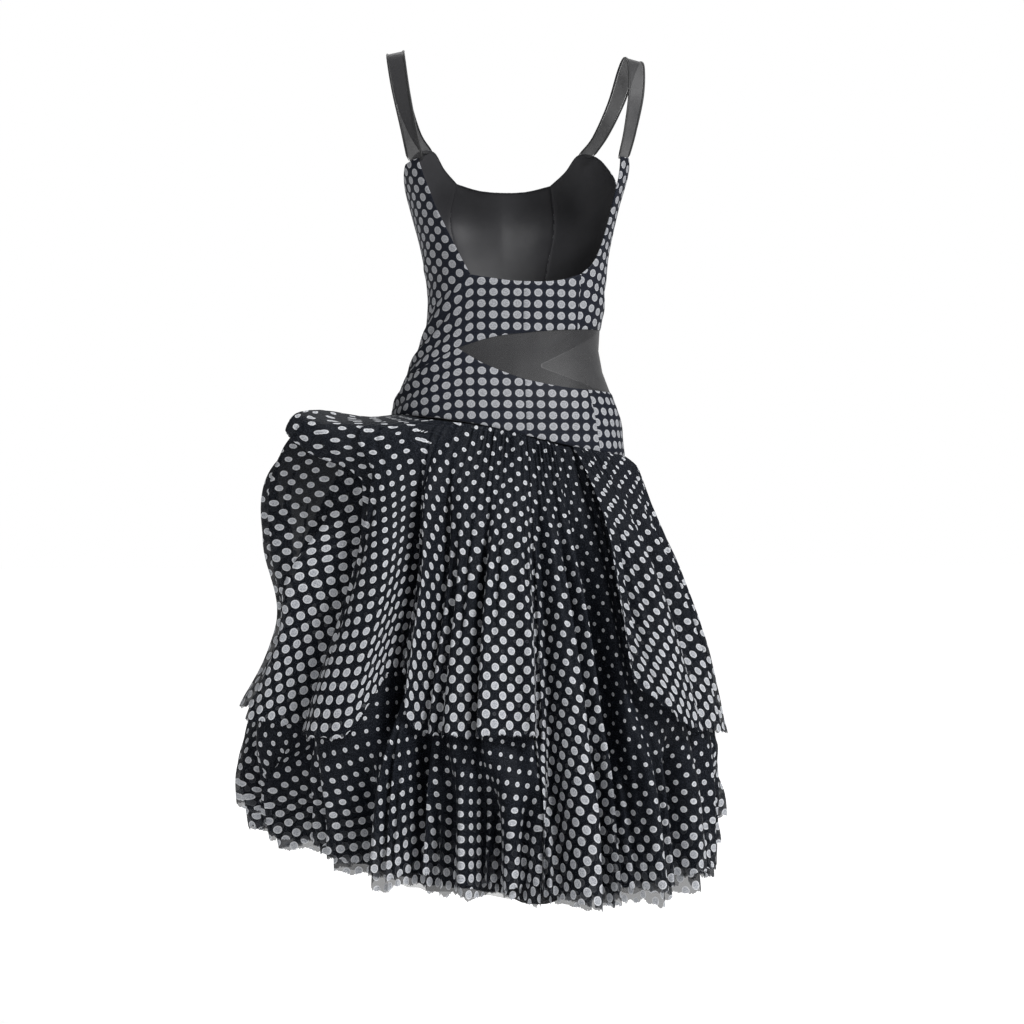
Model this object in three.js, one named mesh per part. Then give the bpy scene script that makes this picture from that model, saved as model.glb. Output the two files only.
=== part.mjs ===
// A knee-length flamenco dress, worn by nobody: open torso, mesh straps, a crescent of sheer mesh
// at the waist, and a skirt of five gathered layers. Units are millimetres and +Z is up.
// The origin is midway between the strap tops, where the shoulders hold the dress up.
// +X is the wearer's right, +Y the wearer's front. An angle is measured about Z from the centre back,
// positive towards the wearer's right, so the side seams are near -90 and 90 and the centre front is 180.
import * as THREE from "three";

// ---- driving dimensions ----
const bodiceWall = 1.6; // thickness of the dotted bodice cloth
const sheerWall = 1.2; // thickness of the organza, mesh and lining walls
const seamGap = 0.5; // clear space between two pieces along a seam
const layerStep = 2.2; // space between two skirt layers at the hip seam
const layerSpread = 6.5; // how much wider that space is at the bottom of the skirt
const skirtDrop = 520; // height over which the skirt layers spread apart
const ovalPower = 2.3; // roundness of a torso section: 2 is an ellipse
const pipingWidth = 2.4;

// ---- the general figure: half widths to the left and right, depth behind and before the side plane ----
const torso = [
  { z: -60, left: 150, right: 148, back: 86, front: 84 },
  { z: -137, left: 141, right: 140, back: 92, front: 106 },
  { z: -190, left: 127, right: 126, back: 88, front: 116 },
  { z: -245, left: 113, right: 114, back: 80, front: 102 },
  { z: -300, left: 106, right: 109, back: 75, front: 87 },
  { z: -340, left: 110, right: 104, back: 73, front: 81 },
  { z: -375, left: 125, right: 104, back: 78, front: 83 },
  { z: -410, left: 140, right: 116, back: 88, front: 88 },
  { z: -440, left: 151, right: 126, back: 96, front: 92 },
  { z: -500, left: 162, right: 135, back: 106, front: 97 },
];
const cup = { angle: 26, spread: 17, z: -192, height: 46, fullness: 13 };

// ---- the overskirt: radius of the fold crests at five levels below the hip seam, and height of the hem ----
const overskirtRibs = [
  { angle: -180, lip: 112, high: 152, belly: 200, low: 238, hem: 266, hemZ: -806 },
  { angle: -140, lip: 128, high: 180, belly: 232, low: 262, hem: 286, hemZ: -808 },
  { angle: -112, lip: 190, high: 262, belly: 302, low: 294, hem: 322, hemZ: -806 },
  { angle: -96, lip: 222, high: 306, belly: 328, low: 304, hem: 340, hemZ: -800 },
  { angle: -84, lip: 250, high: 300, belly: 320, low: 302, hem: 338, hemZ: -800 },
  { angle: -72, lip: 276, high: 240, belly: 262, low: 292, hem: 330, hemZ: -806 },
  { angle: -60, lip: 218, high: 208, belly: 246, low: 280, hem: 316, hemZ: -812 },
  { angle: -49, lip: 146, high: 182, belly: 232, low: 262, hem: 298, hemZ: -808 },
  { angle: -39, lip: 124, high: 170, belly: 219, low: 250, hem: 278, hemZ: -742 },
  { angle: -29, lip: 114, high: 158, belly: 208, low: 240, hem: 274, hemZ: -796 },
  { angle: -10, lip: 110, high: 150, belly: 202, low: 236, hem: 270, hemZ: -806 },
  { angle: 8, lip: 112, high: 150, belly: 202, low: 236, hem: 268, hemZ: -808 },
  { angle: 24, lip: 118, high: 156, belly: 204, low: 238, hem: 268, hemZ: -748 },
  { angle: 44, lip: 130, high: 166, belly: 208, low: 240, hem: 268, hemZ: -806 },
  { angle: 66, lip: 143, high: 174, belly: 210, low: 240, hem: 264, hemZ: -832 },
  { angle: 90, lip: 146, high: 172, belly: 208, low: 238, hem: 256, hemZ: -826 },
  { angle: 125, lip: 132, high: 168, belly: 210, low: 240, hem: 264, hemZ: -812 },
];
const overskirtLevels = { lip: 0.04, high: 0.2, belly: 0.42, low: 0.68, hem: 1 };

// ---- the flounces under it: radius of the crests at fixed heights, and height of both hems ----
const flounceRibs = [
  { angle: -180, z520: 128, z620: 186, z720: 228, z810: 254, z890: 276, z990: 284, outerZ: -962, innerZ: -992 },
  { angle: -130, z520: 150, z620: 215, z720: 258, z810: 284, z890: 300, z990: 300, outerZ: -950, innerZ: -988 },
  { angle: -95, z520: 205, z620: 275, z720: 300, z810: 326, z890: 338, z990: 322, outerZ: -905, innerZ: -950 },
  { angle: -70, z520: 190, z620: 250, z720: 286, z810: 312, z890: 322, z990: 304, outerZ: -938, innerZ: -950 },
  { angle: -48, z520: 150, z620: 214, z720: 254, z810: 280, z890: 292, z990: 292, outerZ: -954, innerZ: -970 },
  { angle: -20, z520: 128, z620: 188, z720: 228, z810: 256, z890: 276, z990: 288, outerZ: -968, innerZ: -984 },
  { angle: 10, z520: 126, z620: 186, z720: 226, z810: 254, z890: 276, z990: 290, outerZ: -976, innerZ: -994 },
  { angle: 40, z520: 136, z620: 190, z720: 228, z810: 252, z890: 270, z990: 280, outerZ: -972, innerZ: -996 },
  { angle: 80, z520: 150, z620: 192, z720: 226, z810: 246, z890: 256, z990: 256, outerZ: -934, innerZ: -990 },
  { angle: 125, z520: 142, z620: 190, z720: 228, z810: 250, z890: 266, z990: 272, outerZ: -962, innerZ: -990 },
];
const flounceHeights = { z520: -520, z620: -620, z720: -720, z810: -810, z890: -890, z990: -990 };

// ---- folds of the overskirt, shared by what hangs under it: a valley at an angle, its half width,
// how much of the room between crest and floor it takes, where it starts and ends below the seam,
// and how far it leans by the hem ----
const overskirtFolds = [
  { angle: -160, half: 7, depth: 0.65, from: 0.05, to: 1.1, lean: 2 },
  { angle: -139, half: 7, depth: 0.75, from: 0.0, to: 1.1, lean: -2 },
  { angle: -118, half: 6, depth: 0.65, from: 0.1, to: 1.1, lean: -3 },
  { angle: -99, half: 5, depth: 0.15, from: 0.1, to: 1.1, lean: -2 },
  { angle: -83, half: 5, depth: 0.3, from: 0.1, to: 1.1, lean: -5 },
  { angle: -63, half: 7, depth: 0.6, from: 0.06, to: 1.1, lean: -7 },
  { angle: -44, half: 3.2, depth: 0.85, from: 0.0, to: 1.2, lean: -1 },
  { angle: -33, half: 3.4, depth: 0.75, from: 0.0, to: 1.2, lean: -1 },
  { angle: -21, half: 3, depth: 0.3, from: 0.0, to: 1.1, lean: 1 },
  { angle: -9, half: 3.5, depth: 0.28, from: 0.0, to: 1.1, lean: 1 },
  { angle: 3, half: 3, depth: 0.7, from: 0.0, to: 1.5, lean: -1 },
  { angle: 12, half: 2.6, depth: 0.45, from: 0.0, to: 1.5, lean: -1 },
  { angle: 22, half: 4.4, depth: 0.85, from: 0.0, to: 1.3, lean: -1 },
  { angle: 31, half: 2.6, depth: 0.4, from: 0.1, to: 1.2, lean: 1 },
  { angle: 47, half: 3.4, depth: 0.3, from: 0.0, to: 1.1, lean: 2 },
  { angle: 63, half: 4, depth: 0.5, from: 0.05, to: 1.1, lean: 2 },
  { angle: 79, half: 5, depth: 0.55, from: 0.0, to: 1.1, lean: 1 },
  { angle: 98, half: 6, depth: 0.7, from: 0.05, to: 1.1, lean: -1 },
  { angle: 119, half: 7, depth: 0.55, from: 0.0, to: 1.1, lean: 2 },
  { angle: 140, half: 7, depth: 0.75, from: 0.1, to: 1.1, lean: -2 },
  { angle: 160, half: 6, depth: 0.6, from: 0.0, to: 1.1, lean: 1 },
  { angle: 180, half: 7, depth: 0.7, from: 0.05, to: 1.1, lean: 0 },
];

// ---- small maths ----
const degree = Math.PI / 180;
const mix = (a, b, share) => a + (b - a) * share;
const clamp01 = (x) => Math.min(1, Math.max(0, x));
const ease = (x) => clamp01(x) ** 2 * (3 - 2 * clamp01(x));
const turnTo = (angle) => ((((angle + 180) % 360) + 360) % 360) - 180;

// One column of a table at a key between rows: a smooth curve through the rows, round the circle if wrap.
function tableAt(rows, key, column, at, wrap = false) {
  const count = rows.length;
  const rowAt = (i) => (wrap ? rows[((i % count) + count) % count] : rows[Math.min(count - 1, Math.max(0, i))]);
  const keyAt = (i) => (wrap ? rowAt(i)[key] + 360 * Math.floor(i / count) : rowAt(i)[key]);
  const rising = rows[1][key] > rows[0][key];
  let i = wrap ? -1 : 0;
  const last = wrap ? count : count - 2;
  while (i < last && (rising ? keyAt(i + 1) <= at : keyAt(i + 1) >= at)) i++;
  const [k0, k1, k2, k3] = [keyAt(i - 1), keyAt(i), keyAt(i + 1), keyAt(i + 2)];
  const [p0, p1, p2, p3] = [i - 1, i, i + 1, i + 2].map((n) => rowAt(n)[column]);
  const t = clamp01((at - k1) / (k2 - k1));
  const slope1 = k2 === k0 ? 0 : ((p2 - p0) / (k2 - k0)) * (k2 - k1);
  const slope2 = k3 === k1 ? 0 : ((p3 - p1) / (k3 - k1)) * (k2 - k1);
  const [t2, t3] = [t * t, t * t * t];
  return (
    (2 * t3 - 3 * t2 + 1) * p1 + (t3 - 2 * t2 + t) * slope1 + (3 * t2 - 2 * t3) * p2 + (t3 - t2) * slope2
  );
}

// ---- the form that the bodice follows ----
function torsoRadius(angle, z) {
  const [s, c] = [Math.sin(angle * degree), Math.cos(angle * degree)];
  const half = tableAt(torso, "z", s < 0 ? "left" : "right", z);
  const deep = tableAt(torso, "z", c > 0 ? "back" : "front", z);
  const round = ((Math.abs(c) / deep) ** ovalPower + (Math.abs(s) / half) ** ovalPower) ** (-1 / ovalPower);
  const fromFront = Math.abs(turnTo(angle - 180));
  const across = ((fromFront - cup.angle) / cup.spread) ** 2;
  const along = ((z - cup.z) / cup.height) ** 2;
  return round + cup.fullness * Math.exp(-across - along);
}
const seamHeight = (angle) => -465 - 25 * Math.sin(angle * degree) - 3 * Math.cos(angle * degree);
const polar = (angle, radius, z) =>
  new THREE.Vector3(radius * Math.sin(angle * degree), -radius * Math.cos(angle * degree), z);

// ---- walls of cloth ----
// pointAt(u, v) gives the middle of the wall, u to the wearer's right seen from behind and v downwards.
function clothWall(pointAt, across, down, wall) {
  const step = 1e-3;
  const [outer, inner] = [[], []];
  for (const v of down) {
    for (const u of across) {
      const middle = pointAt(u, v);
      const [u0, u1] = [Math.max(across[0], u - step), Math.min(across[across.length - 1], u + step)];
      const [v0, v1] = [Math.max(0, v - step), Math.min(1, v + step)];
      const alongU = pointAt(u1, v).sub(pointAt(u0, v));
      const alongV = pointAt(u, v1).sub(pointAt(u, v0));
      const out = alongV.cross(alongU).normalize().multiplyScalar(wall / 2);
      outer.push(middle.clone().add(out));
      inner.push(middle.clone().sub(out));
    }
  }
  const columns = across.length;
  const rows = down.length;
  const points = [...outer, ...inner];
  const far = outer.length;
  const index = [];
  const quad = (a, b, c, d) => index.push(a, b, c, a, c, d);
  for (let j = 0; j < rows - 1; j++) {
    for (let i = 0; i < columns - 1; i++) {
      const [a, b, c, d] = [j * columns + i, j * columns + i + 1, (j + 1) * columns + i + 1, (j + 1) * columns + i];
      quad(a, d, c, b);
      quad(far + a, far + b, far + c, far + d);
    }
  }
  const rim = [];
  for (let i = 0; i < columns - 1; i++) rim.push(i);
  for (let j = 0; j < rows - 1; j++) rim.push(j * columns + columns - 1);
  for (let i = columns - 1; i > 0; i--) rim.push((rows - 1) * columns + i);
  for (let j = rows - 1; j > 0; j--) rim.push(j * columns);
  rim.forEach((a, n) => {
    const b = rim[(n + 1) % rim.length];
    quad(a, b, far + b, far + a);
  });
  const geometry = new THREE.BufferGeometry().setFromPoints(points);
  geometry.setIndex(index);
  return geometry;
}
// A closed tube of cloth: the same, but the last column joins the first.
function clothTube(pointAt, angles, down, wall) {
  const step = 1e-3;
  const [outer, inner] = [[], []];
  for (const v of down) {
    for (const u of angles) {
      const middle = pointAt(u, v);
      const alongU = pointAt(u + step, v).sub(pointAt(u - step, v));
      const alongV = pointAt(u, Math.min(1, v + step)).sub(pointAt(u, Math.max(0, v - step)));
      const out = alongV.cross(alongU).normalize().multiplyScalar(wall / 2);
      outer.push(middle.clone().add(out));
      inner.push(middle.clone().sub(out));
    }
  }
  const columns = angles.length;
  const far = outer.length;
  const index = [];
  const quad = (a, b, c, d) => index.push(a, b, c, a, c, d);
  for (let i = 0; i < columns; i++) {
    const next = (i + 1) % columns;
    for (let j = 0; j < down.length - 1; j++) {
      const [a, b, c, d] = [j * columns + i, j * columns + next, (j + 1) * columns + next, (j + 1) * columns + i];
      quad(a, d, c, b);
      quad(far + a, far + b, far + c, far + d);
    }
    const low = (down.length - 1) * columns;
    quad(i, next, far + next, far + i);
    quad(low + next, low + i, far + low + i, far + low + next);
  }
  const geometry = new THREE.BufferGeometry().setFromPoints([...outer, ...inner]);
  geometry.setIndex(index);
  return geometry;
}
const evenly = (from, to, count) => Array.from({ length: count + 1 }, (_, i) => mix(from, to, i / count));

// ---- skirt layers ----
// Layers are numbered outwards from the lining. Each has a floor, which its valleys reach, and crests.
const layer = { lining: 0, petticoat: 1, innerFlounce: 2, outerFlounce: 3, streamer: 4, overskirt: 5 };
const innerFlounceTop = -555; // the inner flounce is gathered onto the petticoat here
const drop = (angle, z) => clamp01((seamHeight(angle) - z) / skirtDrop);

function liningRadius(angle, z) {
  const share = drop(angle, z);
  const hip = torsoRadius(angle, seamHeight(angle)) - 13;
  const hem = mix(198, 214, Math.sin(angle * degree) ** 2);
  const flute = 5 * share * Math.sin((9 * angle + 34) * degree);
  return mix(hip, hem, share ** 0.85) + flute;
}
const floorRadius = (number, angle, z) =>
  liningRadius(angle, z) + number * (layerStep + layerSpread * drop(angle, z) ** 0.8);

const hemHeight = (column, angle) =>
  tableAt(column === "hemZ" ? overskirtRibs : flounceRibs, "angle", column, angle, true);

function overskirtCrest(angle, z) {
  const share = (seamHeight(angle) - z) / (seamHeight(angle) - hemHeight("hemZ", angle));
  const rows = Object.entries(overskirtLevels).map(([name, level]) => ({
    level,
    radius: tableAt(overskirtRibs, "angle", name, angle, true),
  }));
  rows.unshift({ level: 0, radius: torsoRadius(angle, seamHeight(angle)) });
  return tableAt(rows, "level", "radius", clamp01(share));
}
function flounceCrest(angle, z) {
  const rows = Object.entries(flounceHeights).map(([name, height]) => ({
    z: height,
    radius: tableAt(flounceRibs, "angle", name, angle, true),
  }));
  rows.unshift({ z: seamHeight(angle), radius: torsoRadius(angle, seamHeight(angle)) - 4 });
  return tableAt(rows, "z", "radius", z);
}

// The overskirt leads, and the layers under it keep inside its crests until they pass its hem.
function crestRadius(number, angle, z) {
  const over = overskirtCrest(angle, z);
  if (number === layer.overskirt) return over;
  const spread = layerStep + 7 * drop(angle, z);
  const below = Math.max(0, hemHeight("hemZ", angle) - z);
  const under = Math.min(over - 2 * spread + 0.6 * below, flounceCrest(angle, z));
  return under + (number - layer.outerFlounce) * spread;
}

// How near the crest a point is: 1 on a crest, towards 0 in a valley.
const valley = (angle, centre, half) => Math.exp(-((turnTo(angle - centre) / half) ** 2));
function upperFold(angle, z) {
  const share = (seamHeight(angle) - z) / 340;
  return overskirtFolds.reduce((crest, fold) => {
    const grown = ease((share - fold.from) / 0.45 + 0.12) * (1 - ease((share - fold.to) / 0.3));
    return crest * (1 - fold.depth * grown * valley(angle, fold.angle, fold.half));
  }, 1);
}
// Below the overskirt the flounces fold at its valleys, and half way between those that are far apart.
const wideGap = 13;
const flounceFolds = overskirtFolds.flatMap((fold, i) => {
  const next = overskirtFolds[(i + 1) % overskirtFolds.length];
  const gap = turnTo(next.angle - fold.angle);
  const uneven = 0.62 + 0.25 * Math.sin(i * 2.4);
  const own = { angle: fold.angle, half: gap > wideGap ? gap * 0.2 : gap * 0.36, depth: uneven };
  return gap > wideGap ? [own, { angle: fold.angle + gap / 2, half: gap * 0.17, depth: 1.25 - uneven }] : [own];
});
const lowerFold = (angle) =>
  flounceFolds.reduce((crest, fold) => crest * (1 - fold.depth * valley(angle, fold.angle, fold.half)), 1);
function foldShare(angle, z) {
  const below = ease((hemHeight("hemZ", angle) + 4 - z) / 90);
  return mix(upperFold(angle, z), lowerFold(angle), below);
}
function leanedAngle(angle, z) {
  const rows = overskirtFolds.map((fold) => ({ angle: fold.angle, lean: fold.lean }));
  return angle + tableAt(rows, "angle", "lean", angle, true) * clamp01((seamHeight(angle) - z) / 340);
}
function foldedPoint(number, angle, z) {
  const leaned = leanedAngle(angle, z);
  const floor = floorRadius(number, leaned, z);
  const crest = Math.max(floor + 1, crestRadius(number, leaned, z));
  const open = number === layer.innerFlounce ? ease((innerFlounceTop - z) / 90) : 1;
  return polar(leaned, mix(floor, crest, open * foldShare(angle, z)), z);
}
const plainPoint = (number, angle, z) => polar(angle, floorRadius(number, angle, z), z);

// Column angles: each fold's valley, half way to the next one, and quarters where those are far apart.
const skirtAngles = overskirtFolds.flatMap((fold, i) => {
  const next = overskirtFolds[(i + 1) % overskirtFolds.length];
  const gap = turnTo(next.angle - fold.angle);
  const pieces = gap > wideGap ? 4 : 2;
  return Array.from({ length: pieces }, (_, n) => fold.angle + (gap * n) / pieces);
});
const anglesBetween = (from, to) => [
  from,
  ...skirtAngles.map(turnTo).filter((a) => a > from + 1 && a < to - 1).sort((a, b) => a - b),
  to,
];

// ---- the object ----
const dress = new THREE.Group();
const cloth = {
  dotted: { color: 0x2a2b31, roughness: 0.75 },
  organza: { color: 0x3a3b42, roughness: 0.6 },
  mesh: { color: 0x1f1f22, roughness: 0.8 },
  tulle: { color: 0x26262a, roughness: 0.85 },
  lining: { color: 0x101012, roughness: 0.55 },
  piping: { color: 0x0b0b0c, roughness: 0.6 },
};
function addPiece(name, geometry, look) {
  const piece = new THREE.Mesh(geometry, new THREE.MeshStandardMaterial({ ...look, metalness: 0 }));
  piece.name = name;
  dress.add(piece);
}

// ---- seams and edges of the bodice, each a few [angle, height] points ----
const sideLeft = -100;
const sideRight = 92;
const princessBack = 48.5;
const princessFront = 150;
const hipSeam = (from, to, spans) =>
  evenly(from, to, spans).map((angle) => [angle, seamHeight(angle) + seamGap / 2]);
const armholeBackLeft = [[-79, -141], [-89, -158], [-97, -170], [-100, -178]];
const armholeBackRight = [[76, -128], [85, -149], [92, -173]];
const neckBackLeft = [[-68, -137], [-65, -165], [-62, -192], [-58, -216], [-53.5, -238], [-49, -257], [-43.5, -276]];
const neckBackRight = [[66, -130], [67, -158], [67, -186], [66.5, -210], [64, -236], [58, -258], [48.5, -273]];
const diagonalUpper = [[-100, -336], [-81, -316], [-62, -296], [-43.5, -276]];
const neckBandLeft = [[-43.5, -276], [-29, -280], [-14, -283], [0, -284]];
const diagonalLower = [[-100, -417], [-84, -399], [-68, -381], [-52, -363]];
const crescentTopLeft = [[-52, -363], [-35, -353], [-17, -347.5], [0, -345]];
const crescentFootLeft = [[-52, -363], [-35, -380], [-17, -392], [0, -401]];
const crescentTopFront = [[92, -335], [111, -344], [130, -357], [149.6, -371]];
const crescentFootFront = [[92, -413], [111, -402], [130, -388], [149.6, -375]];
const topFrontRight = [
  [92, -173], [103, -152], [113, -128], [121, -110], [131, -106], [140, -126], [150, -142],
];
const neckFront = [[150, -142], [165, -149], [180, -151], [195, -149], [210, -142]];
const topFrontLeft = [
  [210, -142], [220, -126], [229, -106], [239, -110], [246, -128], [253, -154], [260, -178],
];
const straight = (from, to, spans) =>
  evenly(0, 1, spans).map((share) => [mix(from[0], to[0], share), mix(from[1], to[1], share)]);

// A panel is a patch between four edges; u runs towards the wearer's right seen from behind, v downwards.
function along(edge, share) {
  const place = share * (edge.length - 1);
  const i = Math.min(edge.length - 2, Math.floor(place));
  return [0, 1].map((n) => mix(edge[i][n], edge[i + 1][n], place - i));
}
const onTorso = ([angle, z]) => polar(angle, torsoRadius(angle, z), z);
function patchPoint({ top, bottom, left, right }, u, v) {
  const across = onTorso(along(left, v)).distanceTo(onTorso(along(right, v)));
  const down = onTorso(along(top, u)).distanceTo(onTorso(along(bottom, u)));
  const [trimU, trimV] = [seamGap / 2 / across, seamGap / 2 / down];
  const [s, t] = [mix(trimU, 1 - trimU, u), mix(trimV, 1 - trimV, v)];
  const [head, foot, near, far] = [along(top, s), along(bottom, s), along(left, t), along(right, t)];
  const at = (n) => {
    const upper = mix(top[0][n], top[top.length - 1][n], s);
    const lower = mix(bottom[0][n], bottom[bottom.length - 1][n], s);
    return mix(head[n], foot[n], t) + mix(near[n], far[n], s) - mix(upper, lower, t);
  };
  return onTorso([at(0), at(1)]);
}
function addPanel(name, edges, columns, rows, look = cloth.dotted, wall = bodiceWall) {
  const point = (u, v) => patchPoint(edges, u, v);
  addPiece(name, clothWall(point, evenly(0, 1, columns), evenly(0, 1, rows), wall), look);
}

function addBackPanels() {
  const sideBackLeft = [...armholeBackLeft, ...straight([-100, -204], [-100, -336], 5)];
  addPanel(
    "back_side_left",
    { top: straight([-79, -141], [-68, -137], 3), bottom: diagonalUpper, left: sideBackLeft, right: neckBackLeft },
    3, 12,
  );
  addPanel(
    "back_band_left",
    {
      top: [...diagonalUpper, ...neckBandLeft.slice(1)],
      bottom: [...diagonalLower, ...crescentTopLeft.slice(1)],
      left: straight([sideLeft, -336], [sideLeft, -417], 3),
      right: straight([0, -284], [0, -345], 3),
    },
    12, 3,
  );
  addPanel(
    "hip_yoke_left",
    {
      top: [...diagonalLower, ...crescentFootLeft.slice(1)],
      bottom: hipSeam(sideLeft, 0, 6),
      left: straight([sideLeft, -417], [sideLeft, seamHeight(sideLeft)], 1),
      right: straight([0, -401], [0, seamHeight(0)], 1),
    },
    12, 2,
  );
  addPanel(
    "back_band_right",
    {
      top: [[0, -284], [16, -284], [33, -281], [princessBack, -273]],
      bottom: [[0, -345], [16, -342.5], [33, -340.5], [princessBack, -339]],
      left: straight([0, -284], [0, -345], 3),
      right: straight([princessBack, -273], [princessBack, -339], 3),
    },
    6, 3,
  );
  addPanel(
    "back_side_right",
    {
      top: straight([66, -130], [76, -128], 3),
      bottom: straight([princessBack, -339], [sideRight, -335], 3),
      left: [...neckBackRight, ...straight([princessBack, -295], [princessBack, -339], 2)],
      right: [...armholeBackRight, ...straight([sideRight, -196], [sideRight, -335], 6)],
    },
    4, 9,
  );
  addPanel(
    "hip_yoke_right",
    {
      top: [[0, -401], [16, -406], [32, -410], [48, -412]],
      bottom: hipSeam(0, 48, 3),
      left: straight([0, -401], [0, seamHeight(0)], 3),
      right: straight([48, -412], [48, seamHeight(48)], 3),
    },
    6, 3,
  );
  addPanel(
    "hip_side_right",
    {
      top: [[48, -412], [63, -413], [78, -413], [sideRight, -413]],
      bottom: hipSeam(48, sideRight, 3),
      left: straight([48, -412], [48, seamHeight(48)], 3),
      right: straight([sideRight, -413], [sideRight, seamHeight(sideRight)], 3),
    },
    4, 3,
  );
}

function addFrontPanels() {
  addPanel(
    "front_side_right_upper",
    {
      top: topFrontRight,
      bottom: crescentTopFront,
      left: straight([sideRight, -173], [sideRight, -335], 3),
      right: straight([princessFront, -142], [princessFront, -371], 3),
    },
    6, 6,
  );
  addPanel(
    "front_side_right_lower",
    {
      top: crescentFootFront,
      bottom: hipSeam(sideRight, princessFront, 3),
      left: straight([sideRight, -413], [sideRight, seamHeight(sideRight)], 3),
      right: straight([princessFront, -375], [princessFront, seamHeight(princessFront)], 3),
    },
    6, 3,
  );
  addPanel(
    "front_centre",
    {
      top: neckFront,
      bottom: hipSeam(princessFront, 210, 4),
      left: straight([princessFront, -142], [princessFront, seamHeight(princessFront)], 4),
      right: straight([210, -142], [210, seamHeight(210)], 4),
    },
    8, 8,
  );
  addPanel(
    "front_side_left",
    {
      top: topFrontLeft,
      bottom: hipSeam(210, 260, 6),
      left: straight([210, -142], [210, seamHeight(210)], 3),
      right: straight([260, -178], [260, seamHeight(260)], 3),
    },
    6, 8,
  );
}

// The mesh crescent runs from a tip at the left back, round the right side, to a tip at the front.
function addCrescent() {
  const top = [
    ...crescentTopLeft.slice(1), [16, -342.5], [33, -340.5], [princessBack, -339], [70, -337], ...crescentTopFront,
  ];
  const bottom = [
    ...crescentFootLeft.slice(1), [16, -406], [32, -410], [48, -412], [70, -413], ...crescentFootFront,
  ];
  addPanel(
    "cutout_mesh",
    {
      top: [[-50, -361.9], ...top],
      bottom: [[-50, -364.9], ...bottom],
      left: straight([-50, -361.9], [-50, -364.9], 1),
      right: straight([149.6, -371], [149.6, -375], 1),
    },
    11, 3, cloth.mesh, sheerWall,
  );
}

// ---- straps: a band of mesh over each shoulder with a piping on either edge ----
const strapPath = [
  { x: 126.8, y: -43.4, z: -127.5, width: 23, turn: 54, tilt: 4 },
  { x: 134, y: -44, z: -98, width: 18, turn: 40, tilt: 2 },
  { x: 143, y: -37, z: -52, width: 17, turn: 22, tilt: -2 },
  { x: 147, y: -17, z: -12, width: 17, turn: 6, tilt: -10 },
  { x: 146, y: 2, z: -1, width: 17, turn: 0, tilt: -14 },
  { x: 143, y: 22, z: -10, width: 17, turn: -8, tilt: -10 },
  { x: 134, y: 44, z: -46, width: 17, turn: -26, tilt: -4 },
  { x: 118, y: 64, z: -84, width: 19, turn: -42, tilt: 0 },
  { x: 102.5, y: 74.3, z: -106, width: 21, turn: -50, tilt: -10 },
];
const strapRows = strapPath.map((row, i) => ({ ...row, at: i / (strapPath.length - 1) }));
// side is 1 for the wearer's right; across is -1 on the edge by the neck and 1 on the edge by the arm.
function strapPoint(side, across, beyond, share) {
  const at = (column) => tableAt(strapRows, "at", column, share);
  const [turn, tilt] = [at("turn") * degree, at("tilt") * degree];
  const reach = across * (at("width") / 2) + Math.sign(across) * beyond;
  const low = side < 0 ? -8 * Math.exp(-share * 6) : 0;
  return new THREE.Vector3(
    side * (at("x") + reach * Math.cos(turn) * Math.cos(tilt)),
    at("y") + reach * Math.sin(turn) * Math.cos(tilt),
    at("z") + low + reach * Math.sin(tilt),
  );
}
function addStraps() {
  [["right", 1], ["left", -1]].forEach(([name, side]) => {
    const band = (u, v) => strapPoint(side, side * u, 0, v);
    addPiece(`strap_${name}`, clothWall(band, [-1, 0, 1], evenly(0, 1, 12), sheerWall), cloth.mesh);
    [["neck", -1], ["arm", 1]].forEach(([edge, across]) => {
      const [near, far] = [seamGap, seamGap + pipingWidth];
      const from = side * across > 0 ? near : far;
      const to = side * across > 0 ? far : near;
      const edging = (u, v) => strapPoint(side, across, mix(from, to, u), v);
      addPiece(`strap_piping_${name}_${edge}`, clothWall(edging, [0, 1], evenly(0, 1, 12), 2), cloth.piping);
    });
  });
}

// ---- skirt ----
// A level is 0 at the hip seam, 1 at the overskirt's hem, 2 at the outer flounce's and 3 at a piece's own.
// All the gathered layers share these levels and the column angles, so that each lies inside the next.
const rimGap = 1.2;
const overskirtDown = [0, 0.03, 0.08, 0.17, 0.29, 0.43, 0.57, 0.72, 0.87, 1];
const flounceDown = [0, 0.08, 0.29, 0.57, 0.72, 1, 1.5, 2];
function levelHeight(angle, level, ownHem) {
  const heights = [seamHeight(angle) - rimGap, hemHeight("hemZ", angle), hemHeight("outerZ", angle), ownHem];
  const i = Math.min(2, Math.floor(level));
  return mix(heights[i], heights[i + 1], level - i);
}
function layerWall(number, angles, levels, hemAt, closed) {
  const last = levels[levels.length - 1];
  const point = (angle, v) => foldedPoint(number, angle, levelHeight(angle, v * last, hemAt(angle)));
  const down = levels.map((level) => level / last);
  return closed ? clothTube(point, angles, down, sheerWall) : clothWall(point, angles, down, sheerWall);
}
function addSkirt() {
  const noHem = () => 0;
  const over = (from, to) =>
    layerWall(layer.overskirt, anglesBetween(from, to), overskirtDown, noHem, false);
  addPiece("overskirt_left", over(-179.8, -0.4), cloth.organza);
  addPiece("overskirt_right", over(28.6, 179.8), cloth.organza);
  const streamerHem = (angle) => -984 + 8 * Math.cos((angle + 3) * 12 * degree);
  const streamer = layerWall(layer.streamer, anglesBetween(-3, 17), [...flounceDown, 3], streamerHem, false);
  addPiece("back_streamer", streamer, cloth.organza);
  addPiece("flounce_outer", layerWall(layer.outerFlounce, skirtAngles, flounceDown, noHem, true), cloth.organza);
  const innerHem = (angle) => hemHeight("innerZ", angle);
  const inner = layerWall(layer.innerFlounce, skirtAngles, [...flounceDown.slice(2), 3], innerHem, true);
  addPiece("flounce_inner", inner, cloth.organza);
}
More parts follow.
